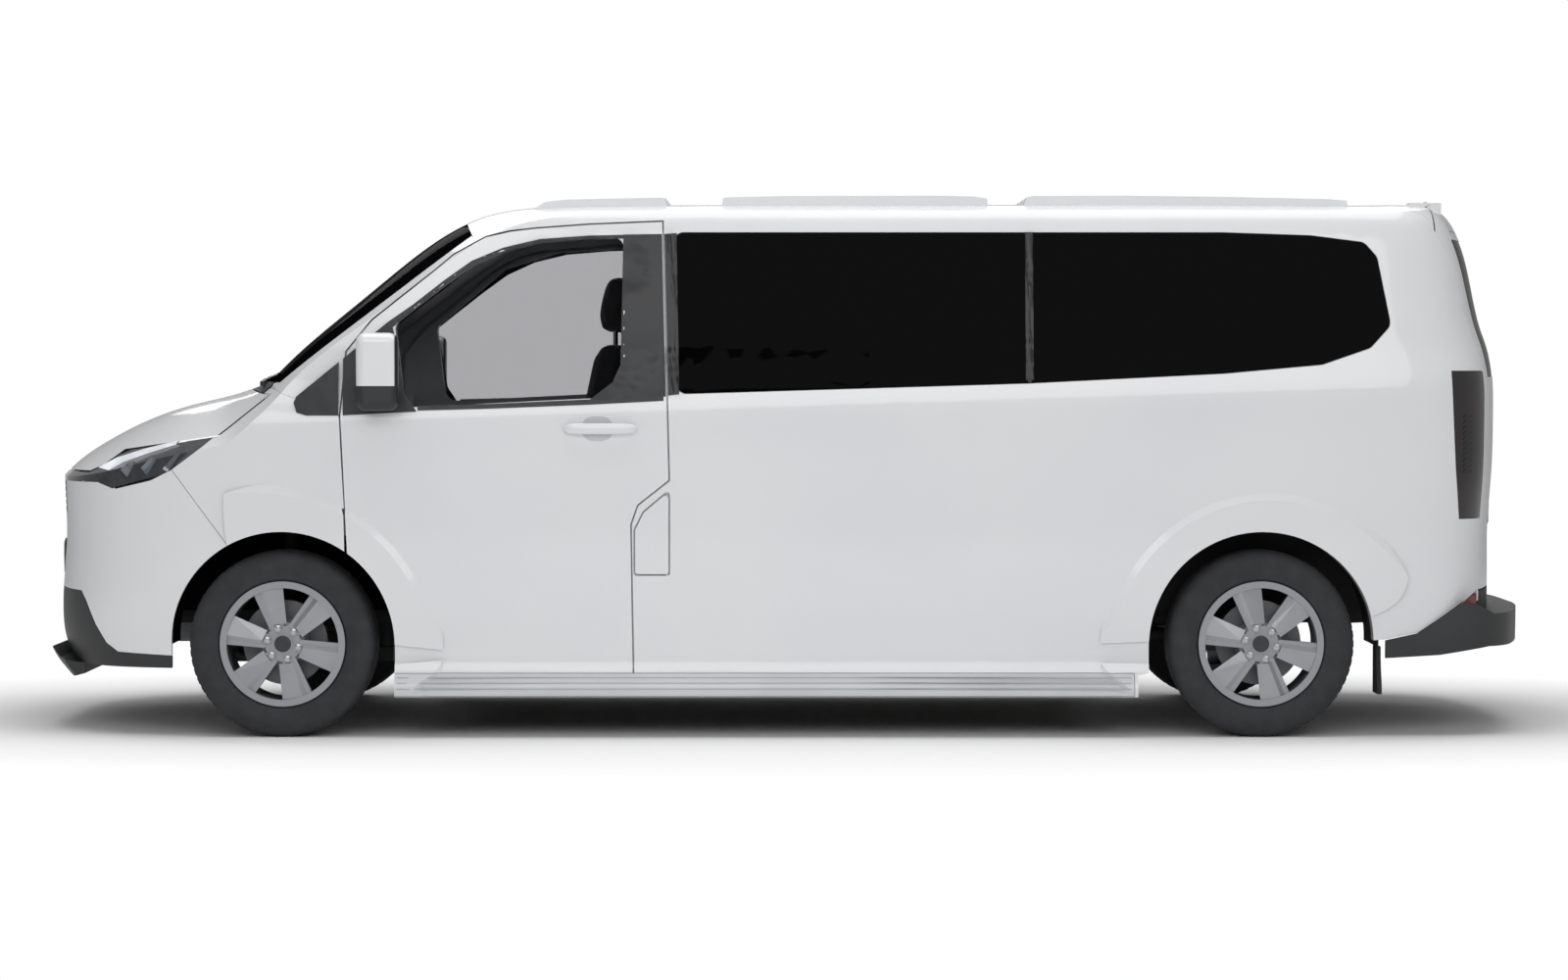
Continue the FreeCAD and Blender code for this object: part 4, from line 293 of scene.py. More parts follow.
# Windscreen: laminated glass with the same tint, glued to the body by a black ceramic band that is
# fired onto its edges. Seen at a slant the pane is deeper and lets less light through.
FRIT_SIDE = 0.66
SCREEN_GLOSS_BLEND = 0.02
SLANT_POWER = 3.0
FRIT_TOP = 1.835
FRIT_FOOT = 1.30
screen, tree = blank_material("laminated_glass_with_fired_black_edge")
parted = place_in(tree)
sideways = add(tree, "ShaderNodeMath", {"operation": "ABSOLUTE"}, {0: parted.outputs["Y"]})
wide = add(tree, "ShaderNodeMath", {"operation": "GREATER_THAN", 1: FRIT_SIDE}, {0: sideways.outputs[0]})
high = add(tree, "ShaderNodeMath", {"operation": "GREATER_THAN", 1: FRIT_TOP}, {0: parted.outputs["Z"]})
low = add(tree, "ShaderNodeMath", {"operation": "LESS_THAN", 1: FRIT_FOOT}, {0: parted.outputs["Z"]})
ends = add(tree, "ShaderNodeMath", {"operation": "MAXIMUM"}, {0: high.outputs[0], 1: low.outputs[0]})
fired = add(tree, "ShaderNodeMath", {"operation": "MAXIMUM"}, {0: ends.outputs[0], 1: wide.outputs[0]})
bare = clear_pane(tree, "C8CCCE", SCREEN_GLOSS_BLEND)
slant = add(tree, "ShaderNodeLayerWeight", {"Blend": 0.5})
deep = add(tree, "ShaderNodeMath", {"operation": "POWER", 1: SLANT_POWER}, {0: slant.outputs["Facing"]})
depth = add(tree, "ShaderNodeBsdfDiffuse", {"Color": linear("060708")})
glazed = add(tree, "ShaderNodeMixShader", {}, {"Fac": deep.outputs[0], 1: bare.outputs[0],
    2: depth.outputs[0]})
band = add(tree, "ShaderNodeBsdfDiffuse", {"Color": linear("08080A")})
mixed = add(tree, "ShaderNodeMixShader", {}, {"Fac": fired.outputs[0], 1: glazed.outputs[0],
    2: band.outputs[0]})
add(tree, "ShaderNodeOutputMaterial", {}, {"Surface": mixed.outputs[0]})
coat_nodes(screen, "windscreen")

# Front inner structure: white enamel where it shows in the door openings, and a black felted liner
# in the wheel arches, masked by its distance from the axle's middle line.
LINER_REACH = 0.445
FRONT_AXLE_X = -1.8
WHEEL_Z = 0.334
lined, tree = blank_material("white_structure_with_black_arch_liner")
parted = place_in(tree)
off_x = add(tree, "ShaderNodeMath", {"operation": "SUBTRACT", 1: FRONT_AXLE_X}, {0: parted.outputs["X"]})
off_z = add(tree, "ShaderNodeMath", {"operation": "SUBTRACT", 1: WHEEL_Z}, {0: parted.outputs["Z"]})
flat = add(tree, "ShaderNodeCombineXYZ", {}, {0: off_x.outputs[0], 1: off_z.outputs[0]})
away = add(tree, "ShaderNodeVectorMath", {"operation": "LENGTH"}, {0: flat.outputs[0]})
near = add(tree, "ShaderNodeMath", {"operation": "LESS_THAN", 1: LINER_REACH}, {0: away.outputs["Value"]})
enamel = add(tree, "ShaderNodeBsdfPrincipled", {"Base Color": linear("DCDDE0"), "Roughness": 0.45})
felt = add(tree, "ShaderNodeBsdfPrincipled", {"Base Color": linear("0C0C0D"), "Roughness": 0.95,
    "Specular IOR Level": 0.1})
mixed = add(tree, "ShaderNodeMixShader", {}, {"Fac": near.outputs[0], 1: enamel.outputs[0],
    2: felt.outputs[0]})
add(tree, "ShaderNodeOutputMaterial", {}, {"Surface": mixed.outputs[0]})
coat_nodes(lined, "front_structure")


def skin_of(*names):
    """The faces of several CAD nodes, for finding where their outer surface lies."""
    corners = []
    faces = []
    for name in names:
        start = len(corners)
        corners += [v.co.copy() for v in nodes[name].data.vertices]
        faces += [[start + corner for corner in p.vertices] for p in nodes[name].data.polygons]
    return BVHTree.FromPolygons(corners, faces)


HANDS = ((-1, "left"), (1, "right"))
PIXEL = 0.00349
ORIGIN_PIXELS = (801.8, 754.0)
REACH = 4.0
HALVINGS = 7
SMOOTHING_PASSES = 4
DEEPEST_DIP = 0.004
SHARP_ANGLE = 35


def traced(pixels):
    """Places along the vehicle and heights of points traced on its near side, in metres."""
    return [((px - ORIGIN_PIXELS[0]) * PIXEL, (ORIGIN_PIXELS[1] - py) * PIXEL) for px, py in pixels]


def made_piece(name, mesh_in, material, body, smooth=True):
    """Puts a finished bmesh into the scene as a piece with a material and a body that it rides on."""
    bmesh.ops.recalc_face_normals(mesh_in, faces=mesh_in.faces[:])
    mesh = bpy.data.meshes.new(name)
    mesh_in.to_mesh(mesh)
    mesh_in.free()
    for face in mesh.polygons:
        face.use_smooth = smooth
    piece = placed(name, mesh)
    mesh.materials.append(material)
    if smooth:
        mesh.set_sharp_from_angle(angle=math.radians(SHARP_ANGLE))
    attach(piece, body)
    return piece


def bridged(shape, rows, closed=True):
    """Faces between each row of corners and the next. A closed row runs on round to its first corner."""
    for here, after in zip(rows, rows[1:]):
        for place in range(len(here) if closed else len(here) - 1):
            beyond = (place + 1) % len(here)
            shape.faces.new((here[place], here[beyond], after[beyond], after[place]))


def worked_out(piece):
    """A new mesh of a piece with its modifiers worked out."""
    bpy.context.view_layer.update()
    return bpy.data.meshes.new_from_object(piece.evaluated_get(bpy.context.evaluated_depsgraph_get()))


def laid_on(name, outline, skin, axis, side, proud, thickness, material, body, cell=0.03):
    """A thin piece with a flat outline, laid on the outer side of a skin. The outline lies across one
    axis; the piece stands proud of the skin on the side given, and goes that thickness down."""
    shape = bmesh.new()
    rim = []
    for first, second in outline:
        place = [first, second]
        place.insert(axis, 0.0)
        rim.append(shape.verts.new(place))
    shape.faces.new(rim)
    bmesh.ops.triangulate(shape, faces=shape.faces[:])
    for _ in range(HALVINGS):
        long = [e for e in shape.edges if e.calc_length() > cell]
        if not long:
            break
        bmesh.ops.subdivide_edges(shape, edges=long, cuts=1)
        bmesh.ops.triangulate(shape, faces=shape.faces[:])
        bmesh.ops.beautify_fill(shape, faces=shape.faces[:], edges=[
            e for e in shape.edges if not e.is_boundary])
    away = Vector([side * REACH if place == axis else 0.0 for place in range(3)])
    missed = []
    levels = []
    for vert in shape.verts:
        hit = skin.ray_cast(vert.co + away, -away.normalized())[0]
        if hit is None:
            missed.append(vert)
        else:
            vert.co[axis] = hit[axis] + side * proud
            levels.append(vert.co[axis])
    for vert in missed:
        vert.co[axis] = sum(levels) / len(levels)
    for _ in range(SMOOTHING_PASSES):
        for vert in shape.verts:
            beside = sorted(edge.other_vert(vert).co[axis] * side for edge in vert.link_edges)
            if vert.co[axis] * side < beside[-1] - DEEPEST_DIP:
                upper = beside[len(beside) // 2:]
                vert.co[axis] = side * sum(upper) / len(upper)
    solid = bmesh.ops.extrude_face_region(shape, geom=shape.faces[:])
    for item in solid["geom"]:
        if isinstance(item, bmesh.types.BMVert):
            item.co[axis] -= side * thickness
    return made_piece(name, shape, material, body)


# Door pillar film: a satin black film on the door's window frame behind the pane and on the pillar beside
# the side glass, with a narrow band round the pane and a seal along its foot. Each is glued to the panel.
FILM_PROUD = 0.0012
FILM_THICKNESS = 0.002
PILLAR_DOOR = [(635.6, 239), (674.9, 238.3), (679.3, 404.6), (600, 409), (613, 401), (625, 390), (633, 372)]
PILLAR_BODY = [(677.3, 238.3), (690, 237.5), (693, 402.4), (681.9, 403.6)]
WINDOW_BAND = [(395.5, 328), (420, 311), (452, 286), (480, 266), (512, 252.5), (550, 243.5), (600, 240),
    (638, 239), (638, 243), (600, 244), (551, 248), (514, 257), (483, 271), (455, 291), (424, 315),
    (400, 334)]
BELT = [(426, 414), (500, 412), (602, 407.5), (677, 404.5), (677, 409), (600, 413), (500, 417), (426, 419)]
film = finish("satin_black_pillar_film", "2D2E30", {"Roughness": 0.42}, (0.002, 0.00002), ("313234", 0.4))
for side, hand in HANDS:
    door = f"front_door_{hand}"
    pane = f"front_door_glass_{hand}"
    films = [("door_pillar_film", PILLAR_DOOR, (door, pane), door),
        ("window_frame_band", WINDOW_BAND, (door, pane), door), ("belt_seal", BELT, (door, pane), door),
        ("pillar_film", PILLAR_BODY, (f"body_side_{hand}", "side_glass"), "body")]
    for name, outline, under, body in films:
        laid_on(f"{name}_{hand}", traced(outline), skin_of(*under), 1, side, FILM_PROUD, FILM_THICKNESS,
            film, body)

# Mirror corner: the moulded black triangle ahead of the door pane, which the mirror's arm comes out of.
# Its front end lies on the wing, so it is two mouldings that meet at the door's edge.
SAIL_PROUD = 0.003
SAIL_THICKNESS = 0.004
SAIL_DOOR = [(349.5, 366), (395.5, 328), (400, 334), (406, 360), (412, 400), (420, 415), (425, 420),
    (349.5, 423.8)]
SAIL_WING = [(299, 411), (302, 404.5), (310, 398), (345, 369.5), (345, 424), (312, 424), (302, 421)]
for side, hand in HANDS:
    door = f"front_door_{hand}"
    mouldings = [("mirror_corner", SAIL_DOOR, (door, f"front_door_glass_{hand}"), door),
        ("mirror_corner_front", SAIL_WING, (f"body_side_{hand}", "front_wings", "front_structure"), "body")]
    for name, outline, under, body in mouldings:
        laid_on(f"{name}_{hand}", traced(outline), skin_of(*under), 1, side, SAIL_PROUD, SAIL_THICKNESS,
            black, body)

# Door mirrors: a black moulded foot and housing with a painted white cap over its upper front, and a
# silvered glass in its rear face. The cap's edge is masked by height.
CAP_FOOT = 1.258
MIRROR_BACK = -1.3735
MIRROR_FOOT = 1.195
CAP_REAR = -1.382
mirror_paint, tree = blank_material("mirror_white_cap_over_black_housing")
parted = place_in(tree)
above = add(tree, "ShaderNodeMath", {"operation": "GREATER_THAN", 1: CAP_FOOT}, {0: parted.outputs["Z"]})
ahead = add(tree, "ShaderNodeMath", {"operation": "LESS_THAN", 1: CAP_REAR}, {0: parted.outputs["X"]})
capped = add(tree, "ShaderNodeMath", {"operation": "MULTIPLY"}, {0: above.outputs[0], 1: ahead.outputs[0]})
shell = add(tree, "ShaderNodeBsdfPrincipled", {"Base Color": linear("EDEEF0"), "Roughness": 0.32,
    "Coat Weight": 0.8, "Coat Roughness": 0.05})
foot = add(tree, "ShaderNodeBsdfPrincipled", {"Base Color": linear("2B2C2E"), "Roughness": 0.5})
cased = add(tree, "ShaderNodeMixShader", {}, {"Fac": capped.outputs[0], 1: foot.outputs[0],
    2: shell.outputs[0]})
behind = add(tree, "ShaderNodeMath", {"operation": "GREATER_THAN", 1: MIRROR_BACK},
    {0: parted.outputs["X"]})
raised = add(tree, "ShaderNodeMath", {"operation": "GREATER_THAN", 1: MIRROR_FOOT},
    {0: parted.outputs["Z"]})
glassy = add(tree, "ShaderNodeMath", {"operation": "MULTIPLY"},
    {0: behind.outputs[0], 1: raised.outputs[0]})
silvered = add(tree, "ShaderNodeBsdfPrincipled", {"Base Color": linear("D8DCE0"), "Roughness": 0.02,
    "Metallic": 1.0})
mixed = add(tree, "ShaderNodeMixShader", {}, {"Fac": glassy.outputs[0], 1: cased.outputs[0],
    2: silvered.outputs[0]})
add(tree, "ShaderNodeOutputMaterial", {}, {"Surface": mixed.outputs[0]})
coat_nodes(mirror_paint, "door_mirror_left", "door_mirror_right")

# Tyres: radial, with a rounded shoulder, a raised rim guard, three straight grooves and cross cuts in
# the tread. Moulded in black rubber that has gone a little grey. They replace the plain CAD rings.
TYRE_HALF = [(0.224, -0.088), (0.232, -0.098), (0.246, -0.1015), (0.262, -0.1065), (0.285, -0.1075),
    (0.305, -0.1045), (0.318, -0.099), (0.326, -0.091), (0.3305, -0.081), (0.3325, -0.068), (0.3330, -0.058),
    (0.3265, -0.056), (0.3265, -0.047), (0.3332, -0.045), (0.3340, -0.006), (0.3270, -0.004)]
TYRE_PROFILE = TYRE_HALF + [(radius, -out) for radius, out in reversed(TYRE_HALF)]
TYRE_STEPS = 144
tyre_rubber = finish("moulded_tyre_rubber", "26272A", {"Roughness": 0.7}, (0.006, 0.0004), ("303134", 0.05))
REAR_AXLE_X = 1.7
axles = {"front": FRONT_AXLE_X, "rear": REAR_AXLE_X}
WHEEL_Y = 0.868
wheels = [(end, hand, Vector((axles[end], side * WHEEL_Y, WHEEL_Z)), side) for end in ("front", "rear")
    for hand, side in (("left", -1), ("right", 1))]


def turned(profile, steps, centre, side):
    """An open profile of radius and distance outwards, turned about a wheel's axis."""
    shape = bmesh.new()
    rings = []
    for step in range(steps):
        angle = 2 * math.pi * step / steps
        rings.append([shape.verts.new((centre.x + radius * math.cos(angle), centre.y + side * out,
            centre.z + radius * math.sin(angle))) for radius, out in profile])
    bridged(shape, rings + rings[:1], closed=False)
    return shape


def around(name, source, count, centre, material, body, first=0.0):
    """Copies of a small mesh round a wheel's axis, made by Geometry Nodes and turned into one mesh."""
    tree = bpy.data.node_groups.new(f"copies_round_an_axis_{name}", "GeometryNodeTree")
    tree.interface.new_socket("Count", in_out="INPUT", socket_type="NodeSocketInt")
    tree.interface.new_socket("First angle", in_out="INPUT", socket_type="NodeSocketFloat")
    tree.interface.new_socket("Geometry", in_out="OUTPUT", socket_type="NodeSocketGeometry")
    given = add(tree, "NodeGroupInput")
    line = add(tree, "GeometryNodeMeshLine", {"mode": "OFFSET"}, {"Count": given.outputs["Count"]})
    line.inputs["Offset"].default_value = (0.0, 0.0, 0.0)
    index = add(tree, "GeometryNodeInputIndex")
    whole = add(tree, "ShaderNodeMath", {"operation": "DIVIDE", 0: 2 * math.pi},
        {1: given.outputs["Count"]})
    turn = add(tree, "ShaderNodeMath", {"operation": "MULTIPLY_ADD"},
        {0: index.outputs[0], 1: whole.outputs[0], 2: given.outputs["First angle"]})
    angles = add(tree, "ShaderNodeCombineXYZ", {}, {"Y": turn.outputs[0]})
    piece_in = add(tree, "GeometryNodeObjectInfo")
    piece_in.inputs["Object"].default_value = source
    copies = add(tree, "GeometryNodeInstanceOnPoints", {}, {"Points": line.outputs[0],
        "Instance": piece_in.outputs["Geometry"], "Rotation": angles.outputs[0]})
    real = add(tree, "GeometryNodeRealizeInstances", {}, {0: copies.outputs[0]})
    coated = add(tree, "GeometryNodeSetMaterial", {"Material": material}, {"Geometry": real.outputs[0]})
    add(tree, "NodeGroupOutput", {}, {"Geometry": coated.outputs[0]})
    carrier = placed(f"{name}_carrier", bpy.data.meshes.new(f"{name}_carrier"))
    modifier = carrier.modifiers.new("copies", "NODES")
    modifier.node_group = tree
    for socket in tree.interface.items_tree:
        if socket.in_out == "INPUT":
            modifier[socket.identifier] = {"Count": count, "First angle": first}[socket.name]
    mesh = worked_out(carrier)
    carrier.modifiers.remove(modifier)
    bpy.data.objects.remove(carrier)
    mesh.transform(Matrix.Translation(centre))
    mesh.name = name
    mesh.materials.clear()
    mesh.materials.append(material)
    piece = placed(name, mesh)
    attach(piece, body)
    return piece


def source_piece(name, corners, faces):
    """A small mesh that is copied by Geometry Nodes. It isn't linked into the scene."""
    mesh = bpy.data.meshes.new(name)
    mesh.from_pydata(corners, [], faces)
    mesh.update()
    return bpy.data.objects.new(name, mesh)


for end, hand, centre, side in wheels:
    name = f"{end}_{hand}"
    tyre = made_piece(f"tread_tyre_{name}", turned(TYRE_PROFILE, TYRE_STEPS, centre, side), tyre_rubber,
        f"wheel_{name}")
    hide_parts(f"tyre_{name}")

# Shoulder blocks: 60 raised blocks moulded round each shoulder of the tread, which give the tyre its
# notched edge. Same rubber as the carcass, and sunk into it by a few millimetres.
BLOCK_COUNT = 60
BLOCK_HALF = 0.0115
BLOCK_SECTION = [(0.060, 0.322), (0.0885, 0.322), (0.0885, 0.3275), (0.0765, 0.3329), (0.060, 0.3339)]
sides = len(BLOCK_SECTION)
for end, hand, centre, side in wheels:
    corners = []
    blocks = []
    for edge in (-1, 1):
        front = [len(corners) + place for place in range(sides)]
        back = [sides + corner for corner in front]
        corners += [(along_block, edge * out, radius) for along_block in (-BLOCK_HALF, BLOCK_HALF) for out,
            radius in BLOCK_SECTION]
        made = [front, back[::-1]]
        made += [[front[place], back[place], back[(place + 1) % sides], front[(place + 1) % sides]]
            for place in range(sides)]
        blocks += made if edge > 0 else [face[::-1] for face in made]
    around(f"tread_blocks_{end}_{hand}", source_piece("tread_block", corners, blocks), BLOCK_COUNT, centre,
        tyre_rubber, f"wheel_{end}_{hand}")

# Road wheels: cast aluminium with six twisted spokes, lacquered silver. Inboard of 30 mm out from the
# wheel's middle they turn a darker grey: raw iron on the brake disc and hub, painted shade on the barrel.
DISC_AND_BARREL_SHADE_LIMIT = 0.8979
wheel_paint, tree = blank_material("silver_lacquer_raw_iron_disc_and_painted_barrel_shade")
parted = place_in(tree)
outwards = add(tree, "ShaderNodeMath", {"operation": "ABSOLUTE"}, {0: parted.outputs["Y"]})
inner = add(tree, "ShaderNodeMath", {"operation": "LESS_THAN", 1: DISC_AND_BARREL_SHADE_LIMIT}, {0: outwards.outputs[0]})
lacquer = add(tree, "ShaderNodeBsdfPrincipled", {"Base Color": linear("9EA0A4"), "Roughness": 0.36,
    "Metallic": 0.6, "Coat Weight": 0.4, "Coat Roughness": 0.1})
# The darker grey: raw iron on the disc and hub, painted shade on the barrel behind the spokes.
raw_iron_and_painted_barrel_shade = add(tree, "ShaderNodeBsdfPrincipled", {"Base Color": linear("77787B"), "Roughness": 0.5,
    "Metallic": 0.8})
mixed = add(tree, "ShaderNodeMixShader", {}, {"Fac": inner.outputs[0], 1: lacquer.outputs[0],
    2: raw_iron_and_painted_barrel_shade.outputs[0]})
add(tree, "ShaderNodeOutputMaterial", {}, {"Surface": mixed.outputs[0]})
coat_nodes(wheel_paint, "rim_front_left", "rim_front_right", "rim_rear_left", "rim_rear_right")

# Spoke ridges: each of the six spokes is cast with a ridge off its middle, so that one flank faces the
# light and the other falls away into shade. The ridge stands 9 mm proud of the flat of the spoke.
RIDGE_FOOT = 0.082
RIDGE_EDGE = 0.0846
RIDGE_ROOT = 0.0915
RIDGE_TIP = 0.0940
SPOKE_ROOT_RADIUS = 0.074
SPOKE_TIP_RADIUS = 0.207
SPOKE_COUNT = 6
ROOT_ANGLES = (19.0, 50.0, 61.0)
TIP_ANGLES = (29.9, 50.5, 55.3)
ridge_paint = finish("silver_lacquered_spoke_ridge", "A6A8AC", {
    "Roughness": 0.34, "Metallic": 0.65, "Coat Weight": 0.4, "Coat Roughness": 0.1}, (0.002, 0.00001),
    ("9DA0A4", 0.1))
for end, hand, centre, side in wheels:
    corners = []
    for radius, angles, crest in ((SPOKE_ROOT_RADIUS, ROOT_ANGLES, RIDGE_ROOT),
            (SPOKE_TIP_RADIUS, TIP_ANGLES, RIDGE_TIP)):
        for angle, out in zip(angles, (RIDGE_EDGE, crest, RIDGE_EDGE)):
            turn = math.radians(angle)
            corners.append((radius * math.cos(turn), side * out, radius * math.sin(turn)))
        for angle in (angles[2], angles[0]):
            turn = math.radians(angle)
            corners.append((radius * math.cos(turn), side * RIDGE_FOOT, radius * math.sin(turn)))
    faces = [(0, 1, 2, 3, 4), (9, 8, 7, 6, 5)]
    faces += [(place, 5 + place, 5 + (place + 1) % 5, (place + 1) % 5) for place in range(5)]
    if side < 0:
        faces = [tuple(reversed(face)) for face in faces]
    around(f"spoke_ridges_{end}_{hand}", source_piece("spoke_ridge", corners, faces), SPOKE_COUNT, centre,
        ridge_paint, f"wheel_{end}_{hand}")

# Wheel nuts: six at 57 mm from the axle between the spokes' roots, hexagonal with a domed end, zinc plated.
# The middle is closed by a plain black plastic cap with a blank, slightly dished face.
NUT_CIRCLE = 0.057
NUT_RADIUS = 0.0140
NUT_FOOT = 0.072
NUT_TOP = 0.0945
NUT_DOME = 0.0985
NUT_DOME_SHARE = 0.6
NUT_ANGLE = 13
zinc = finish("zinc_plated_steel", "C2C4C8", {"Roughness": 0.28, "Metallic": 0.8}, (0.003, 0.00002))
cap_plastic = finish("satin_black_wheel_cap", "2E3033", {"Roughness": 0.4}, (0.001, 0.00003),
    ("35373A", 0.02))
CAP_STEPS = 48
MERGE_DISTANCE = 0.00001
CAP_PROFILE = [(0.0, 0.0905), (0.016, 0.0905), (0.026, 0.0925), (0.0285, 0.0915), (0.030, 0.0870),
    (0.030, 0.0500)]
for end, hand, centre, side in wheels:
    corners = []
    for out in (NUT_FOOT, NUT_TOP, NUT_DOME):
        radius = NUT_RADIUS if out < NUT_DOME else NUT_RADIUS * NUT_DOME_SHARE
        for step in range(6):
            angle = math.pi / 3 * step
            corners.append((NUT_CIRCLE + radius * math.cos(angle), side * out, radius * math.sin(angle)))
    faces = [tuple(range(6)), tuple(reversed(range(12, 18)))]
    for level in (0, 6):
        faces += [(level + step, level + 6 + step, level + 6 + (step + 1) % 6, level + (step + 1) % 6)
            for step in range(6)]
    if side > 0:
        faces = [tuple(reversed(face)) for face in faces]
    around(f"wheel_nuts_{end}_{hand}", source_piece("wheel_nut", corners, faces), SPOKE_COUNT, centre, zinc,
        f"wheel_{end}_{hand}", math.radians(NUT_ANGLE))
    cap = turned(CAP_PROFILE, CAP_STEPS, centre, side)
    bmesh.ops.remove_doubles(cap, verts=cap.verts[:], dist=MERGE_DISTANCE)
    made_piece(f"wheel_cap_{end}_{hand}", cap, cap_plastic, f"wheel_{end}_{hand}")

# Lamps: the headlamp is a dark moulded housing behind a clear polycarbonate cover, with a bright bar of
# light guide along its top and four clear blades under it. The tail lamp is smoked, ribbed red.
housing = finish("dark_lamp_housing_under_clear_cover", "1E2023",
    {"Roughness": 0.22, "Coat Weight": 1.0, "Coat Roughness": 0.02}, None, ("3A3D42", 0.05))
coat_nodes(housing, "headlamps")
smoked = finish("smoked_red_polycarbonate", "202022", {"Roughness": 0.25, "Coat Weight": 1.0,
    "Coat Roughness": 0.03}, None, ("2A1E20", 0.05))
coat_nodes(smoked, "tail_lamps")
guide = finish("white_light_guide", "E8ECF0", {"Roughness": 0.2, "Emission Color": linear("F4F8FF"),
    "Emission Strength": 0.25})
lens_glass = finish("clear_projector_lens", "6C737B", {"Roughness": 0.06, "Metallic": 0.5,
    "Coat Weight": 1.0})
GUIDE_PROUD = 0.002
BLADE_PROUD = 0.0015
LAMP_CELL = 0.02
GUIDE = [(93, 478), (112, 468), (140, 459), (176, 450), (174, 454.5), (146, 463), (119, 472.5), (104, 481)]
BLADES = [[(118, 480), (127, 472), (134, 471), (125, 488)], [(140, 478), (150, 467.5), (158, 466.5),
    (146, 486)], [(163, 479), (176, 464), (182, 463), (168, 482)],
    [(176, 475), (193, 460), (199, 458.5), (180, 472.5)]]
for side, hand in HANDS:
    lamp_skin = skin_of("headlamps")
    laid_on(f"headlamp_light_bar_{hand}", traced(GUIDE), lamp_skin, 1, side, GUIDE_PROUD, 2 * GUIDE_PROUD,
        guide, "body", LAMP_CELL)
    for number, blade in enumerate(BLADES):
        laid_on(f"headlamp_blade_{number}_{hand}", traced(blade), lamp_skin, 1, side, BLADE_PROUD,
            2 * BLADE_PROUD, lens_glass, "body", LAMP_CELL)

# Side glass joint: a satin black rubber bar 28 mm wide, pressed into the gap between the two panes of
# each side.
JOINT_PROUD = 0.0015
GLASS_JOINT = [(1047, 236.5), (1055, 236.5), (1055, 391.2), (1047, 391.6)]
for side, hand in HANDS:
    under = ["side_glass", f"body_side_{hand}"] + (["sliding_door"] if side > 0 else [])
    laid_on(f"glass_joint_{hand}", traced(GLASS_JOINT), skin_of(*under), 1, side, JOINT_PROUD,
        2 * JOINT_PROUD, film, "body")

# Sill mouldings: white extruded covers clipped along the sills, coloured a little greyer than the body.
# Three shallow steps pressed along them are drawn as thin strips of darker white: painted shade under each
# step.
sill_white = finish("greyish_white_extrusion", "D6D8DB", {"Roughness": 0.45, "Coat Weight": 0.4},
    (0.004, 0.00003), ("CDCFD2", 0.3))
coat_nodes(sill_white, "sill_mouldings")
sill_shade = finish("white_extrusion_step_in_shade", "B4B6B9", {"Roughness": 0.5}, (0.004, 0.00003))
SILL_STEPS = (691.5, 697.0, 703.0)
STEP_ENDS = (404, 1155)
STEP_PIXELS = 1.3
STEP_PROUD = 0.001
STEP_THICKNESS = 0.003
STEP_CELL = 0.25
# Each step strip is painted shade, a darker white laid on the moulding.
for side, hand in HANDS:
    for number, level in enumerate(SILL_STEPS):
        low = level + STEP_PIXELS
        strip = [(STEP_ENDS[0], level), (STEP_ENDS[1], level), (STEP_ENDS[1], low), (STEP_ENDS[0], low)]
        laid_on(f"sill_step_{number}_{hand}", traced(strip), skin_of("sill_mouldings"), 1, side, STEP_PROUD,
            STEP_THICKNESS, sill_shade, "body", STEP_CELL)

# Tail lamp louvres: eleven black ribs across the outer corner cover of each tail lamp, and a dark red
# reflector on the bumper under it.
louvre = finish("gloss_black_lamp_cover", "151618", {"Roughness": 0.25, "Coat Weight": 0.8}, None,
    ("1E2022", 0.1))
reflector = finish("dark_red_reflector", "5A0F14", {"Roughness": 0.2, "Coat Weight": 1.0}, (0.004, 0.0004))
RIB_COUNT = 11
RIB_TOP = 425
RIB_STEP = 5.6
RIB_ENDS = (1497, 1506)
RIB_SLANT = 1.5
RIB_WIDTH = 2.5
RIB_PROUD = 0.002
REFLECTOR_PROUD = 0.001
REFLECTOR_THICKNESS = 0.003
REFLECTOR = [(1494, 617.5), (1510, 603), (1510, 616.5)]
for side, hand in HANDS:
    lamp_skin = skin_of("tail_lamps")
    for number in range(RIB_COUNT):
        level = RIB_TOP + RIB_STEP * number
        rib = [(RIB_ENDS[0], level), (RIB_ENDS[1], level - RIB_SLANT),
            (RIB_ENDS[1], level - RIB_SLANT + RIB_WIDTH), (RIB_ENDS[0], level + RIB_WIDTH)]
        laid_on(f"lamp_louvre_{number}_{hand}", traced(rib), lamp_skin, 1, side, RIB_PROUD, 2 * RIB_PROUD,
            louvre, "body", LAMP_CELL)
    laid_on(f"rear_reflector_{hand}", traced(REFLECTOR), skin_of(f"body_side_{hand}", "rear_bumper"), 1,
        side, REFLECTOR_PROUD, REFLECTOR_THICKNESS, reflector, "body", LAMP_CELL)

# Door handles: a white bar on two feet, sprayed with the body, over a finger bowl drawn as a thin oval of
# darker white, painted shade. The bar is 268 mm long and screwed through the door's skin from inside.
BAR_X = (-0.792, -0.530)
BAR_Z = 1.105
BAR_HALF = 0.019
BAR_OUT = 0.036
BOWL_CENTRE = (-0.671, 1.105)
BOWL_HALF = (0.054, 0.044)
BOWL_SQUARENESS = 0.7
BOWL_STEPS = 40
BOWL_PROUD = 0.0012
BOWL_THICKNESS = 0.003
BOWL_CELL = 0.02
BAR_END_POWER = 6
BAR_END_SHARE = 0.35
BAR_SWELL = 0.65
FOOT_OUT = 0.006
BAR_DEPTH = 0.015
BAR_ROUND = 0.008
handle_shadow = finish("white_enamel_in_shade", "C9CBCE", {"Roughness": 0.4, "Coat Weight": 0.5},
    (0.003, 0.00001))
BAR_STEPS = 28
BAR_SIDES = 16
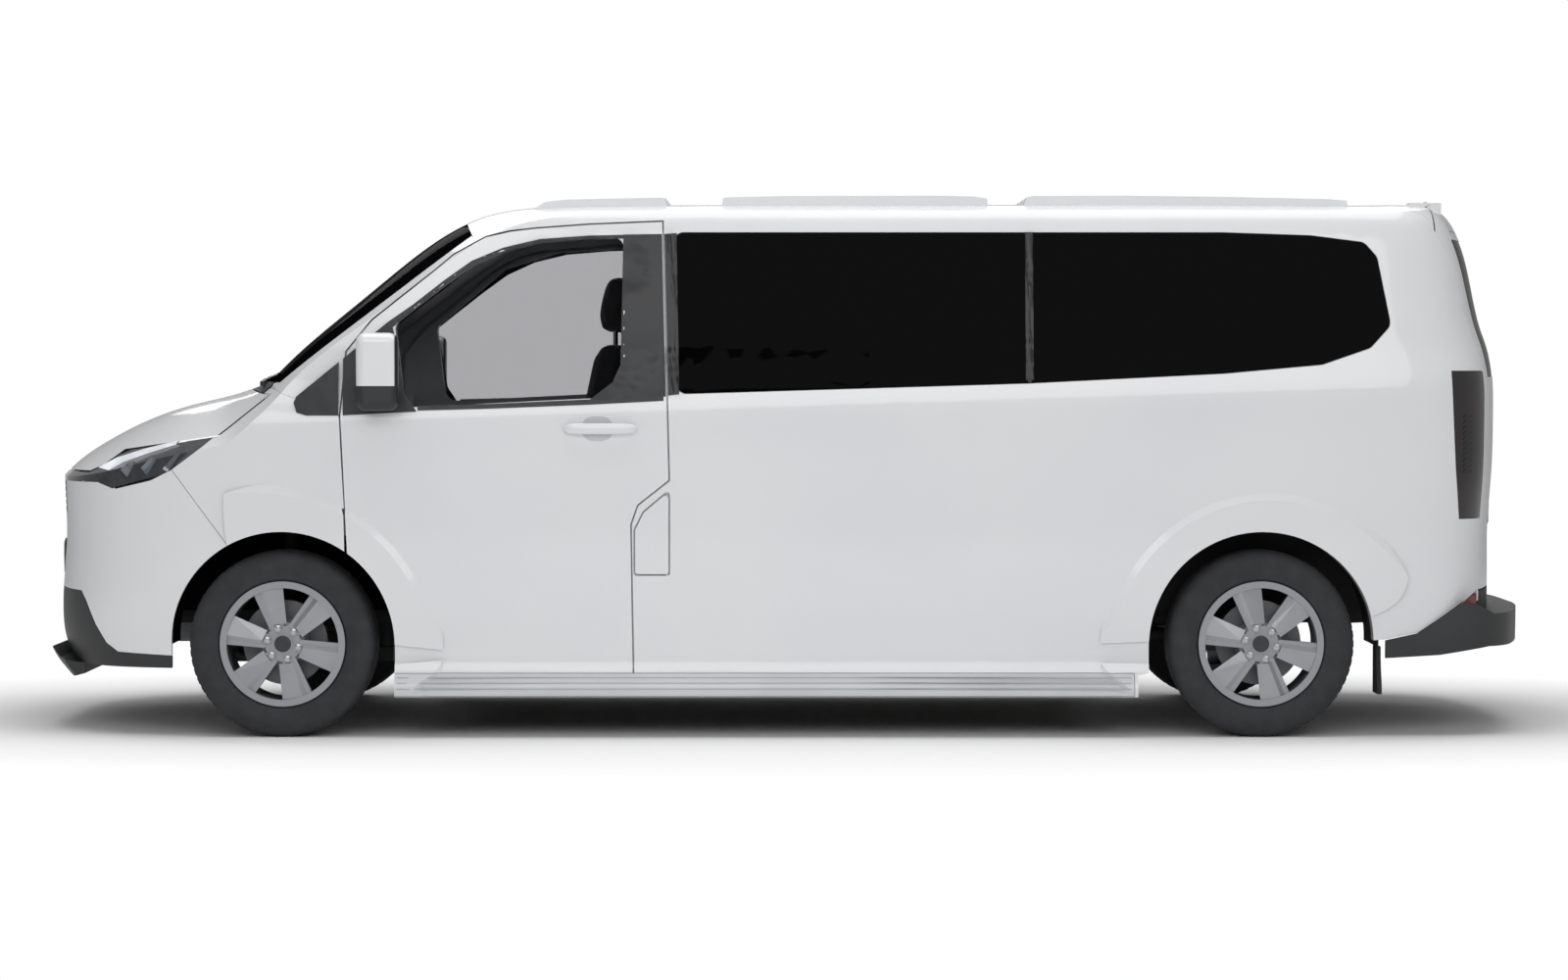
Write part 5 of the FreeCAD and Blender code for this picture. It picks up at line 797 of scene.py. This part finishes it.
for side, hand in HANDS:
    door_skin = skin_of(f"front_door_{hand}")
    bowl = [(BOWL_CENTRE[0] + BOWL_HALF[0] * math.copysign(abs(math.cos(a)) ** BOWL_SQUARENESS, math.cos(a)),
        BOWL_CENTRE[1] + BOWL_HALF[1] * math.copysign(abs(math.sin(a)) ** BOWL_SQUARENESS, math.sin(a)))
        for a in (2 * math.pi * step / BOWL_STEPS for step in range(BOWL_STEPS))]
    # The bowl is not sunk: it is painted shade, a thin disc of darker white on the door.
    laid_on(f"handle_bowl_{hand}", bowl, door_skin, 1, side, BOWL_PROUD, BOWL_THICKNESS, handle_shadow,
        f"front_door_{hand}", BOWL_CELL)
    bar = bmesh.new()
    rings = []
    for step in range(BAR_STEPS + 1):
        share = step / BAR_STEPS
        x = BAR_X[0] + (BAR_X[1] - BAR_X[0]) * share
        hit = door_skin.ray_cast(Vector((x, side * REACH, BAR_Z)), Vector((0, -side, 0)))[0]
        middle = 1 - abs(2 * share - 1) ** BAR_END_POWER
        half = BAR_HALF * (BAR_END_SHARE + BAR_SWELL * middle ** 0.5)
        out = FOOT_OUT + (BAR_OUT - BAR_DEPTH) * middle
        rings.append([bar.verts.new((x, hit.y + side * (out + BAR_ROUND * math.cos(angle)),
            BAR_Z + half * math.sin(angle))) for angle in (2 * math.pi * turn / BAR_SIDES for turn
            in range(BAR_SIDES))])
    bridged(bar, rings)
    bar.faces.new(rings[0])
    bar.faces.new(rings[-1])
    made_piece(f"door_handle_{hand}", bar, white, f"front_door_{hand}")

# Radiator: an aluminium core painted black between two side tanks, bolted to the front ends of the
# frame rails behind the grille. Its fins run up and down, drawn 12 mm apart, coarser than real.
RADIATOR_X = (-2.470, -2.4405)
RADIATOR_HALF = 0.470
RADIATOR_Z = (0.380, 0.720)
FIN_STEP = 0.012
FIN_DEPTH = 0.004
core_paint = finish("black_painted_aluminium_fins", "101112", {"Roughness": 0.7}, (0.004, 0.0001),
    ("191A1B", 0.05))
radiator = bmesh.new()
count = int(2 * RADIATOR_HALF / FIN_STEP)
rows = []
for step in range(count + 1):
    y = -RADIATOR_HALF + FIN_STEP * step
    for share, deep in ((0.0, 0.0), (0.5, FIN_DEPTH)):
        if step == count and share:
            continue
        place = y + FIN_STEP * share
        face = RADIATOR_X[0] + deep
        rows.append([radiator.verts.new((x, place, z)) for x, z
            in ((face, RADIATOR_Z[0]), (face, RADIATOR_Z[1]), (RADIATOR_X[1], RADIATOR_Z[1]),
            (RADIATOR_X[1], RADIATOR_Z[0]))])
bridged(radiator, rows)
radiator.faces.new(rows[0])
radiator.faces.new(rows[-1])
made_piece("radiator_core", radiator, core_paint, "body", smooth=False)

# Number plates: blank white pressed plates, one on the front bumper and one on the tailgate, each
# 520 by 110 mm in a thin black plastic frame that is screwed on.
PLATE_HALF = (0.260, 0.055)
FRAME_HALF = (0.268, 0.063)
FRAME_PROUD = 0.004
PLATE_PROUD = 0.006
PLATE_THICKNESS = 0.006
PLATE_CELL = 0.08
PLATES = (("front", "front_bumper", "body", -1, 0.62), ("rear", "tailgate", "tailgate", 1, 0.80))
plate_white = finish("blank_white_reflective_plate", "E4E4E2", {"Roughness": 0.35}, (0.0015, 0.00002),
    ("DDDDDA", 0.1))


def rounded(half_wide, half_high, middle, corner=0.01):
    """An upright rectangle with cut corners round a middle height."""
    inner = (half_wide - corner, half_high - corner)
    return [(-inner[0], middle - half_high), (inner[0], middle - half_high), (half_wide, middle - inner[1]),
        (half_wide, middle + inner[1]), (inner[0], middle + half_high), (-inner[0], middle + half_high),
        (-half_wide, middle + inner[1]), (-half_wide, middle - inner[1])]


for name, node, body, side, level in PLATES:
    laid_on(f"plate_frame_{name}", rounded(*FRAME_HALF, level), skin_of(node), 0, side, FRAME_PROUD,
        PLATE_THICKNESS, black, body, PLATE_CELL)
    laid_on(f"blank_plate_{name}", rounded(*PLATE_HALF, level), skin_of(node), 0, side, PLATE_PROUD,
        PLATE_THICKNESS, plate_white, body, PLATE_CELL)

# Wipers: two black blades parked along the foot of the windscreen and one on the tailgate glass, each
# a pressed steel arm painted black that carries a rubber blade.
BLADES_PARKED = [("left", -0.56, 1.262, 0.02, 1.292), ("right", 0.06, 1.292, 0.60, 1.262)]
BLADE_HALF = 0.008
WIPER_PROUD = 0.012
WIPER_CELL = 0.05
wiper_paint = finish("black_painted_wiper_steel", "17181A", {"Roughness": 0.45}, (0.003, 0.00005),
    ("202123", 0.05))
for name, from_y, from_z, to_y, to_z in BLADES_PARKED:
    run = [(from_y, from_z - BLADE_HALF), (to_y, to_z - BLADE_HALF), (to_y, to_z + BLADE_HALF),
        (from_y, from_z + BLADE_HALF)]
    laid_on(f"wiper_blade_{name}", run, skin_of("windscreen", "scuttle_panel"), 0, -1, WIPER_PROUD,
        WIPER_PROUD, wiper_paint, "body", WIPER_CELL)
REAR_WIPER = [(-0.02, 1.30), (0.36, 1.335), (0.36, 1.349), (-0.02, 1.33)]
laid_on("rear_wiper", REAR_WIPER, skin_of("tailgate_glass", "tailgate"), 0, 1, WIPER_PROUD, WIPER_PROUD,
    wiper_paint, "tailgate", WIPER_CELL)

# High brake lamp: a dark red strip let into the tailgate's spoiler.
BRAKE_LAMP = [(-0.20, 1.868), (0.20, 1.868), (0.20, 1.884), (-0.20, 1.884)]
BRAKE_PROUD = 0.001
BRAKE_THICKNESS = 0.004
laid_on("high_brake_lamp", BRAKE_LAMP, skin_of("tailgate_spoiler", "tailgate"), 0, 1, BRAKE_PROUD,
    BRAKE_THICKNESS, reflector, "tailgate", WIPER_CELL)

# Aerial fin: a moulded black fin near the front of the roof, on a rubber foot.
FIN_SPINE = [(-0.700, 0.004), (-0.660, 0.011), (-0.610, 0.017), (-0.570, 0.022), (-0.553, 0.020),
    (-0.550, 0.0)]
FIN_HALF = 0.028
FIN_NOSE = 0.3
FIN_SWELL = 0.7
FIN_SINK = 0.002
FIN_SHOULDER = (0.45, 0.8, 1.9495)
FIN_CREST = 1.9498
fin = bmesh.new()
roof_skin = skin_of("roof_panel")
rows = []
for x, rise in FIN_SPINE:
    foot = roof_skin.ray_cast(Vector((x, 0, REACH)), Vector((0, 0, -1)))[0].z
    share = (x - FIN_SPINE[0][0]) / (FIN_SPINE[-1][0] - FIN_SPINE[0][0])
    half = FIN_HALF * (FIN_NOSE + FIN_SWELL * share)
    inner = half * FIN_SHOULDER[0]
    shoulder = min(foot + rise * FIN_SHOULDER[1], FIN_SHOULDER[2])
    rows.append([fin.verts.new((x, y, z)) for y, z in ((-half, foot - FIN_SINK), (-inner, shoulder),
        (0, min(foot + rise, FIN_CREST)), (inner, shoulder), (half, foot - FIN_SINK))])
bridged(fin, rows)
fin.faces.new(rows[0])
fin.faces.new(rows[-1])
made_piece("aerial_fin", fin, black, "body")

# Seats: foam on a steel frame under a tight woven charcoal cloth, with a pad for the base, one for the
# back and a headrest on two stalks. Each pad is blown up a little as real foam fills its cover.
PAD_VOXEL = 0.012
PAD_CAP = 0.014
PAD_SHRINK = 0.010
PAD_PRESSURE = 4.0
PAD_FRAMES = 20
CLOTH_QUALITY = 4
PAD_ENDS = ((0.0, 0.72), (0.3, 0.86), (1.0, 0.95))
PAD_MIDDLE = 0.965
STATION_STEP = 0.10
LEAST_STATIONS = 4
SEAT_BASE = [(-0.462, -0.118), (-0.470, -0.060), (-0.466, -0.018), (-0.440, 0.003), (-0.300, -0.018),
    (-0.060, -0.028), (-0.010, -0.040), (-0.012, -0.126)]
SEAT_BACK = [(0.000, -0.120), (-0.012, -0.036), (0.070, 0.300), (0.112, 0.500), (0.130, 0.558),
    (0.150, 0.568), (0.185, 0.568), (0.212, 0.540), (0.190, 0.300), (0.110, -0.060), (0.065, -0.126)]
HEADREST = [(0.120, 0.594), (0.126, 0.640), (0.150, 0.742), (0.170, 0.752), (0.212, 0.746), (0.232, 0.728),
    (0.214, 0.594)]
FRONT_HEADREST = [(0.120, 0.594), (0.126, 0.650), (0.150, 0.786), (0.170, 0.794), (0.212, 0.788),
    (0.232, 0.770), (0.214, 0.594)]

# The cloth's weave is drawn 4 mm wide, coarser than its real 1 mm thread, so that it shows. Sheen lifts
# its edges.
WEAVE = 0.004
BANDS_A_METRE = 6
seat_cloth, tree = blank_material("woven_charcoal_seat_cloth")
place = add(tree, "ShaderNodeTexCoord")
warp = add(tree, "ShaderNodeTexWave", {"Scale": 1 / WEAVE / BANDS_A_METRE, "Distortion": 0.5},
    {"Vector": place.outputs["Object"]})
weft = add(tree, "ShaderNodeTexWave", {"Scale": 1 / WEAVE / BANDS_A_METRE, "Distortion": 0.5,
    "bands_direction": "Z"}, {"Vector": place.outputs["Object"]})
crossed = add(tree, "ShaderNodeMath", {"operation": "MULTIPLY"},
    {0: warp.outputs["Fac"], 1: weft.outputs["Fac"]})
ramp = add(tree, "ShaderNodeValToRGB", {}, {"Fac": crossed.outputs[0]})
ramp.color_ramp.elements[0].color = linear("17181A")
ramp.color_ramp.elements[1].color = linear("2E3034")
bump = add(tree, "ShaderNodeBump", {"Strength": 0.4, "Distance": 0.0006}, {"Height": crossed.outputs[0]})
woven = add(tree, "ShaderNodeBsdfPrincipled", {"Roughness": 0.88, "Sheen Weight": 0.25},
    {"Base Color": ramp.outputs[0], "Normal": bump.outputs[0]})
add(tree, "ShaderNodeOutputMaterial", {}, {"Surface": woven.outputs[0]})


def seat_pad(name, outline, back_x, top, middle, width, node, round_edge=0.035):
    """One pad: its outline seen from the side, as wide as given, with rounded ends, blown up as cloth."""
    shape = bmesh.new()
    cx = sum(x for x, _ in outline) / len(outline)
    cz = sum(z for _, z in outline) / len(outline)
    rings = []
    half = width / 2 - PAD_SHRINK
    ends = [(-half + round_edge * inset, share) for inset, share in PAD_ENDS]
    count = max(LEAST_STATIONS, int((width - 2 * round_edge) / STATION_STEP))
    stations = ends + [(-half + round_edge + (2 * half - 2 * round_edge) * step / count, PAD_MIDDLE)
        for step in range(1, count)]
    stations += [(-y, share) for y, share in reversed(ends)]
    for y, share in stations:
        rings.append([shape.verts.new((back_x + cx + (x - cx) * share, middle + y,
            top + cz + (z - cz) * share)) for x, z in outline])
    bridged(shape, rings)
    shape.faces.new(rings[0])
    shape.faces.new(list(reversed(rings[-1])))
    bmesh.ops.recalc_face_normals(shape, faces=shape.faces[:])
    mesh = bpy.data.meshes.new(name)
    shape.to_mesh(mesh)
    shape.free()
    pad = placed(name, mesh)
    remesh = pad.modifiers.new("remesh", "REMESH")
    remesh.mode = "VOXEL"
    remesh.voxel_size = PAD_VOXEL
    pad.data = worked_out(pad)
    pad.modifiers.clear()
    start = [v.co.copy() for v in pad.data.vertices]
    cloth = pad.modifiers.new("cloth", "CLOTH")
    cloth.settings.use_pressure = True
    cloth.settings.uniform_pressure_force = PAD_PRESSURE
    cloth.settings.effector_weights.gravity = 0.0
    cloth.settings.quality = CLOTH_QUALITY
    for step in range(1, PAD_FRAMES + 1):
        scene.frame_set(step)
    blown = worked_out(pad)
    pad.modifiers.clear()
    for vert, first in zip(blown.vertices, start):
        move = vert.co - first
        if move.length > PAD_CAP:
            vert.co = first + move.normalized() * PAD_CAP
    pad.data = blown
    scene.frame_set(1)
    for face in pad.data.polygons:
        face.use_smooth = True
    pad.data.materials.clear()
    pad.data.materials.append(seat_cloth)
    smooth = pad.modifiers.new("smooth", "SUBSURF")
    smooth.levels = 1
    smooth.render_levels = 1
    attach(pad, "body")
    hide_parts(node)
    return pad


FRONT_PLACE = (-0.8, 0.86)
FRONT_MIDDLE = 0.43
FRONT_WIDTH = 0.48
BENCH_TOP = 0.93
BENCHES = (("second_row", 0.38, 1.26, 0.42), ("third_row", 1.47, 1.04, 0.34))
HEADREST_WIDTH = 0.25
for side, hand in HANDS:
    for name, outline, width in (("seat_base", SEAT_BASE, FRONT_WIDTH),
            ("seat_back", SEAT_BACK, FRONT_WIDTH), ("headrest", FRONT_HEADREST, HEADREST_WIDTH)):
        seat_pad(f"front_{name}_{hand}", outline, *FRONT_PLACE, side * FRONT_MIDDLE, width, "front_seats")
head_rows = [(*FRONT_PLACE, (-FRONT_MIDDLE, FRONT_MIDDLE))]
for row, back_x, width, heads in BENCHES:
    seat_pad(f"{row}_base", SEAT_BASE, back_x, BENCH_TOP, 0.0, width, f"{row}_seats")
    seat_pad(f"{row}_back", SEAT_BACK, back_x, BENCH_TOP, 0.0, width, f"{row}_seats")
    head_rows.append((back_x, BENCH_TOP, (-heads, 0.0, heads)))
    for number, middle in enumerate(head_rows[-1][2]):
        seat_pad(f"{row}_headrest_{number}", HEADREST, back_x, BENCH_TOP, middle, HEADREST_WIDTH,
            f"{row}_seats")

# Headrest stalks: 14 mm chromed steel rods, two a headrest, that slide into the top of the back.
chrome = finish("chromed_steel_rod", "B8BABD", {"Roughness": 0.12, "Metallic": 1.0}, (0.005, 0.00001))
STALK_RADIUS = 0.007
STALK_LENGTH = 0.12
STALK_SIDES = 16
STALK_PLACE = (0.172, 0.585)
STALK_OUT = 0.05
stalks = bmesh.new()
for back_x, top, heads in head_rows:
    for middle in heads:
        for out in (-STALK_OUT, STALK_OUT):
            made = bmesh.ops.create_cone(stalks, cap_ends=True, segments=STALK_SIDES, radius1=STALK_RADIUS,
                radius2=STALK_RADIUS, depth=STALK_LENGTH)
            lift = Matrix.Translation((back_x + STALK_PLACE[0], middle + out, top + STALK_PLACE[1]))
            bmesh.ops.transform(stalks, matrix=lift, verts=made["verts"])
made_piece("headrest_stalks", stalks, chrome, "body")
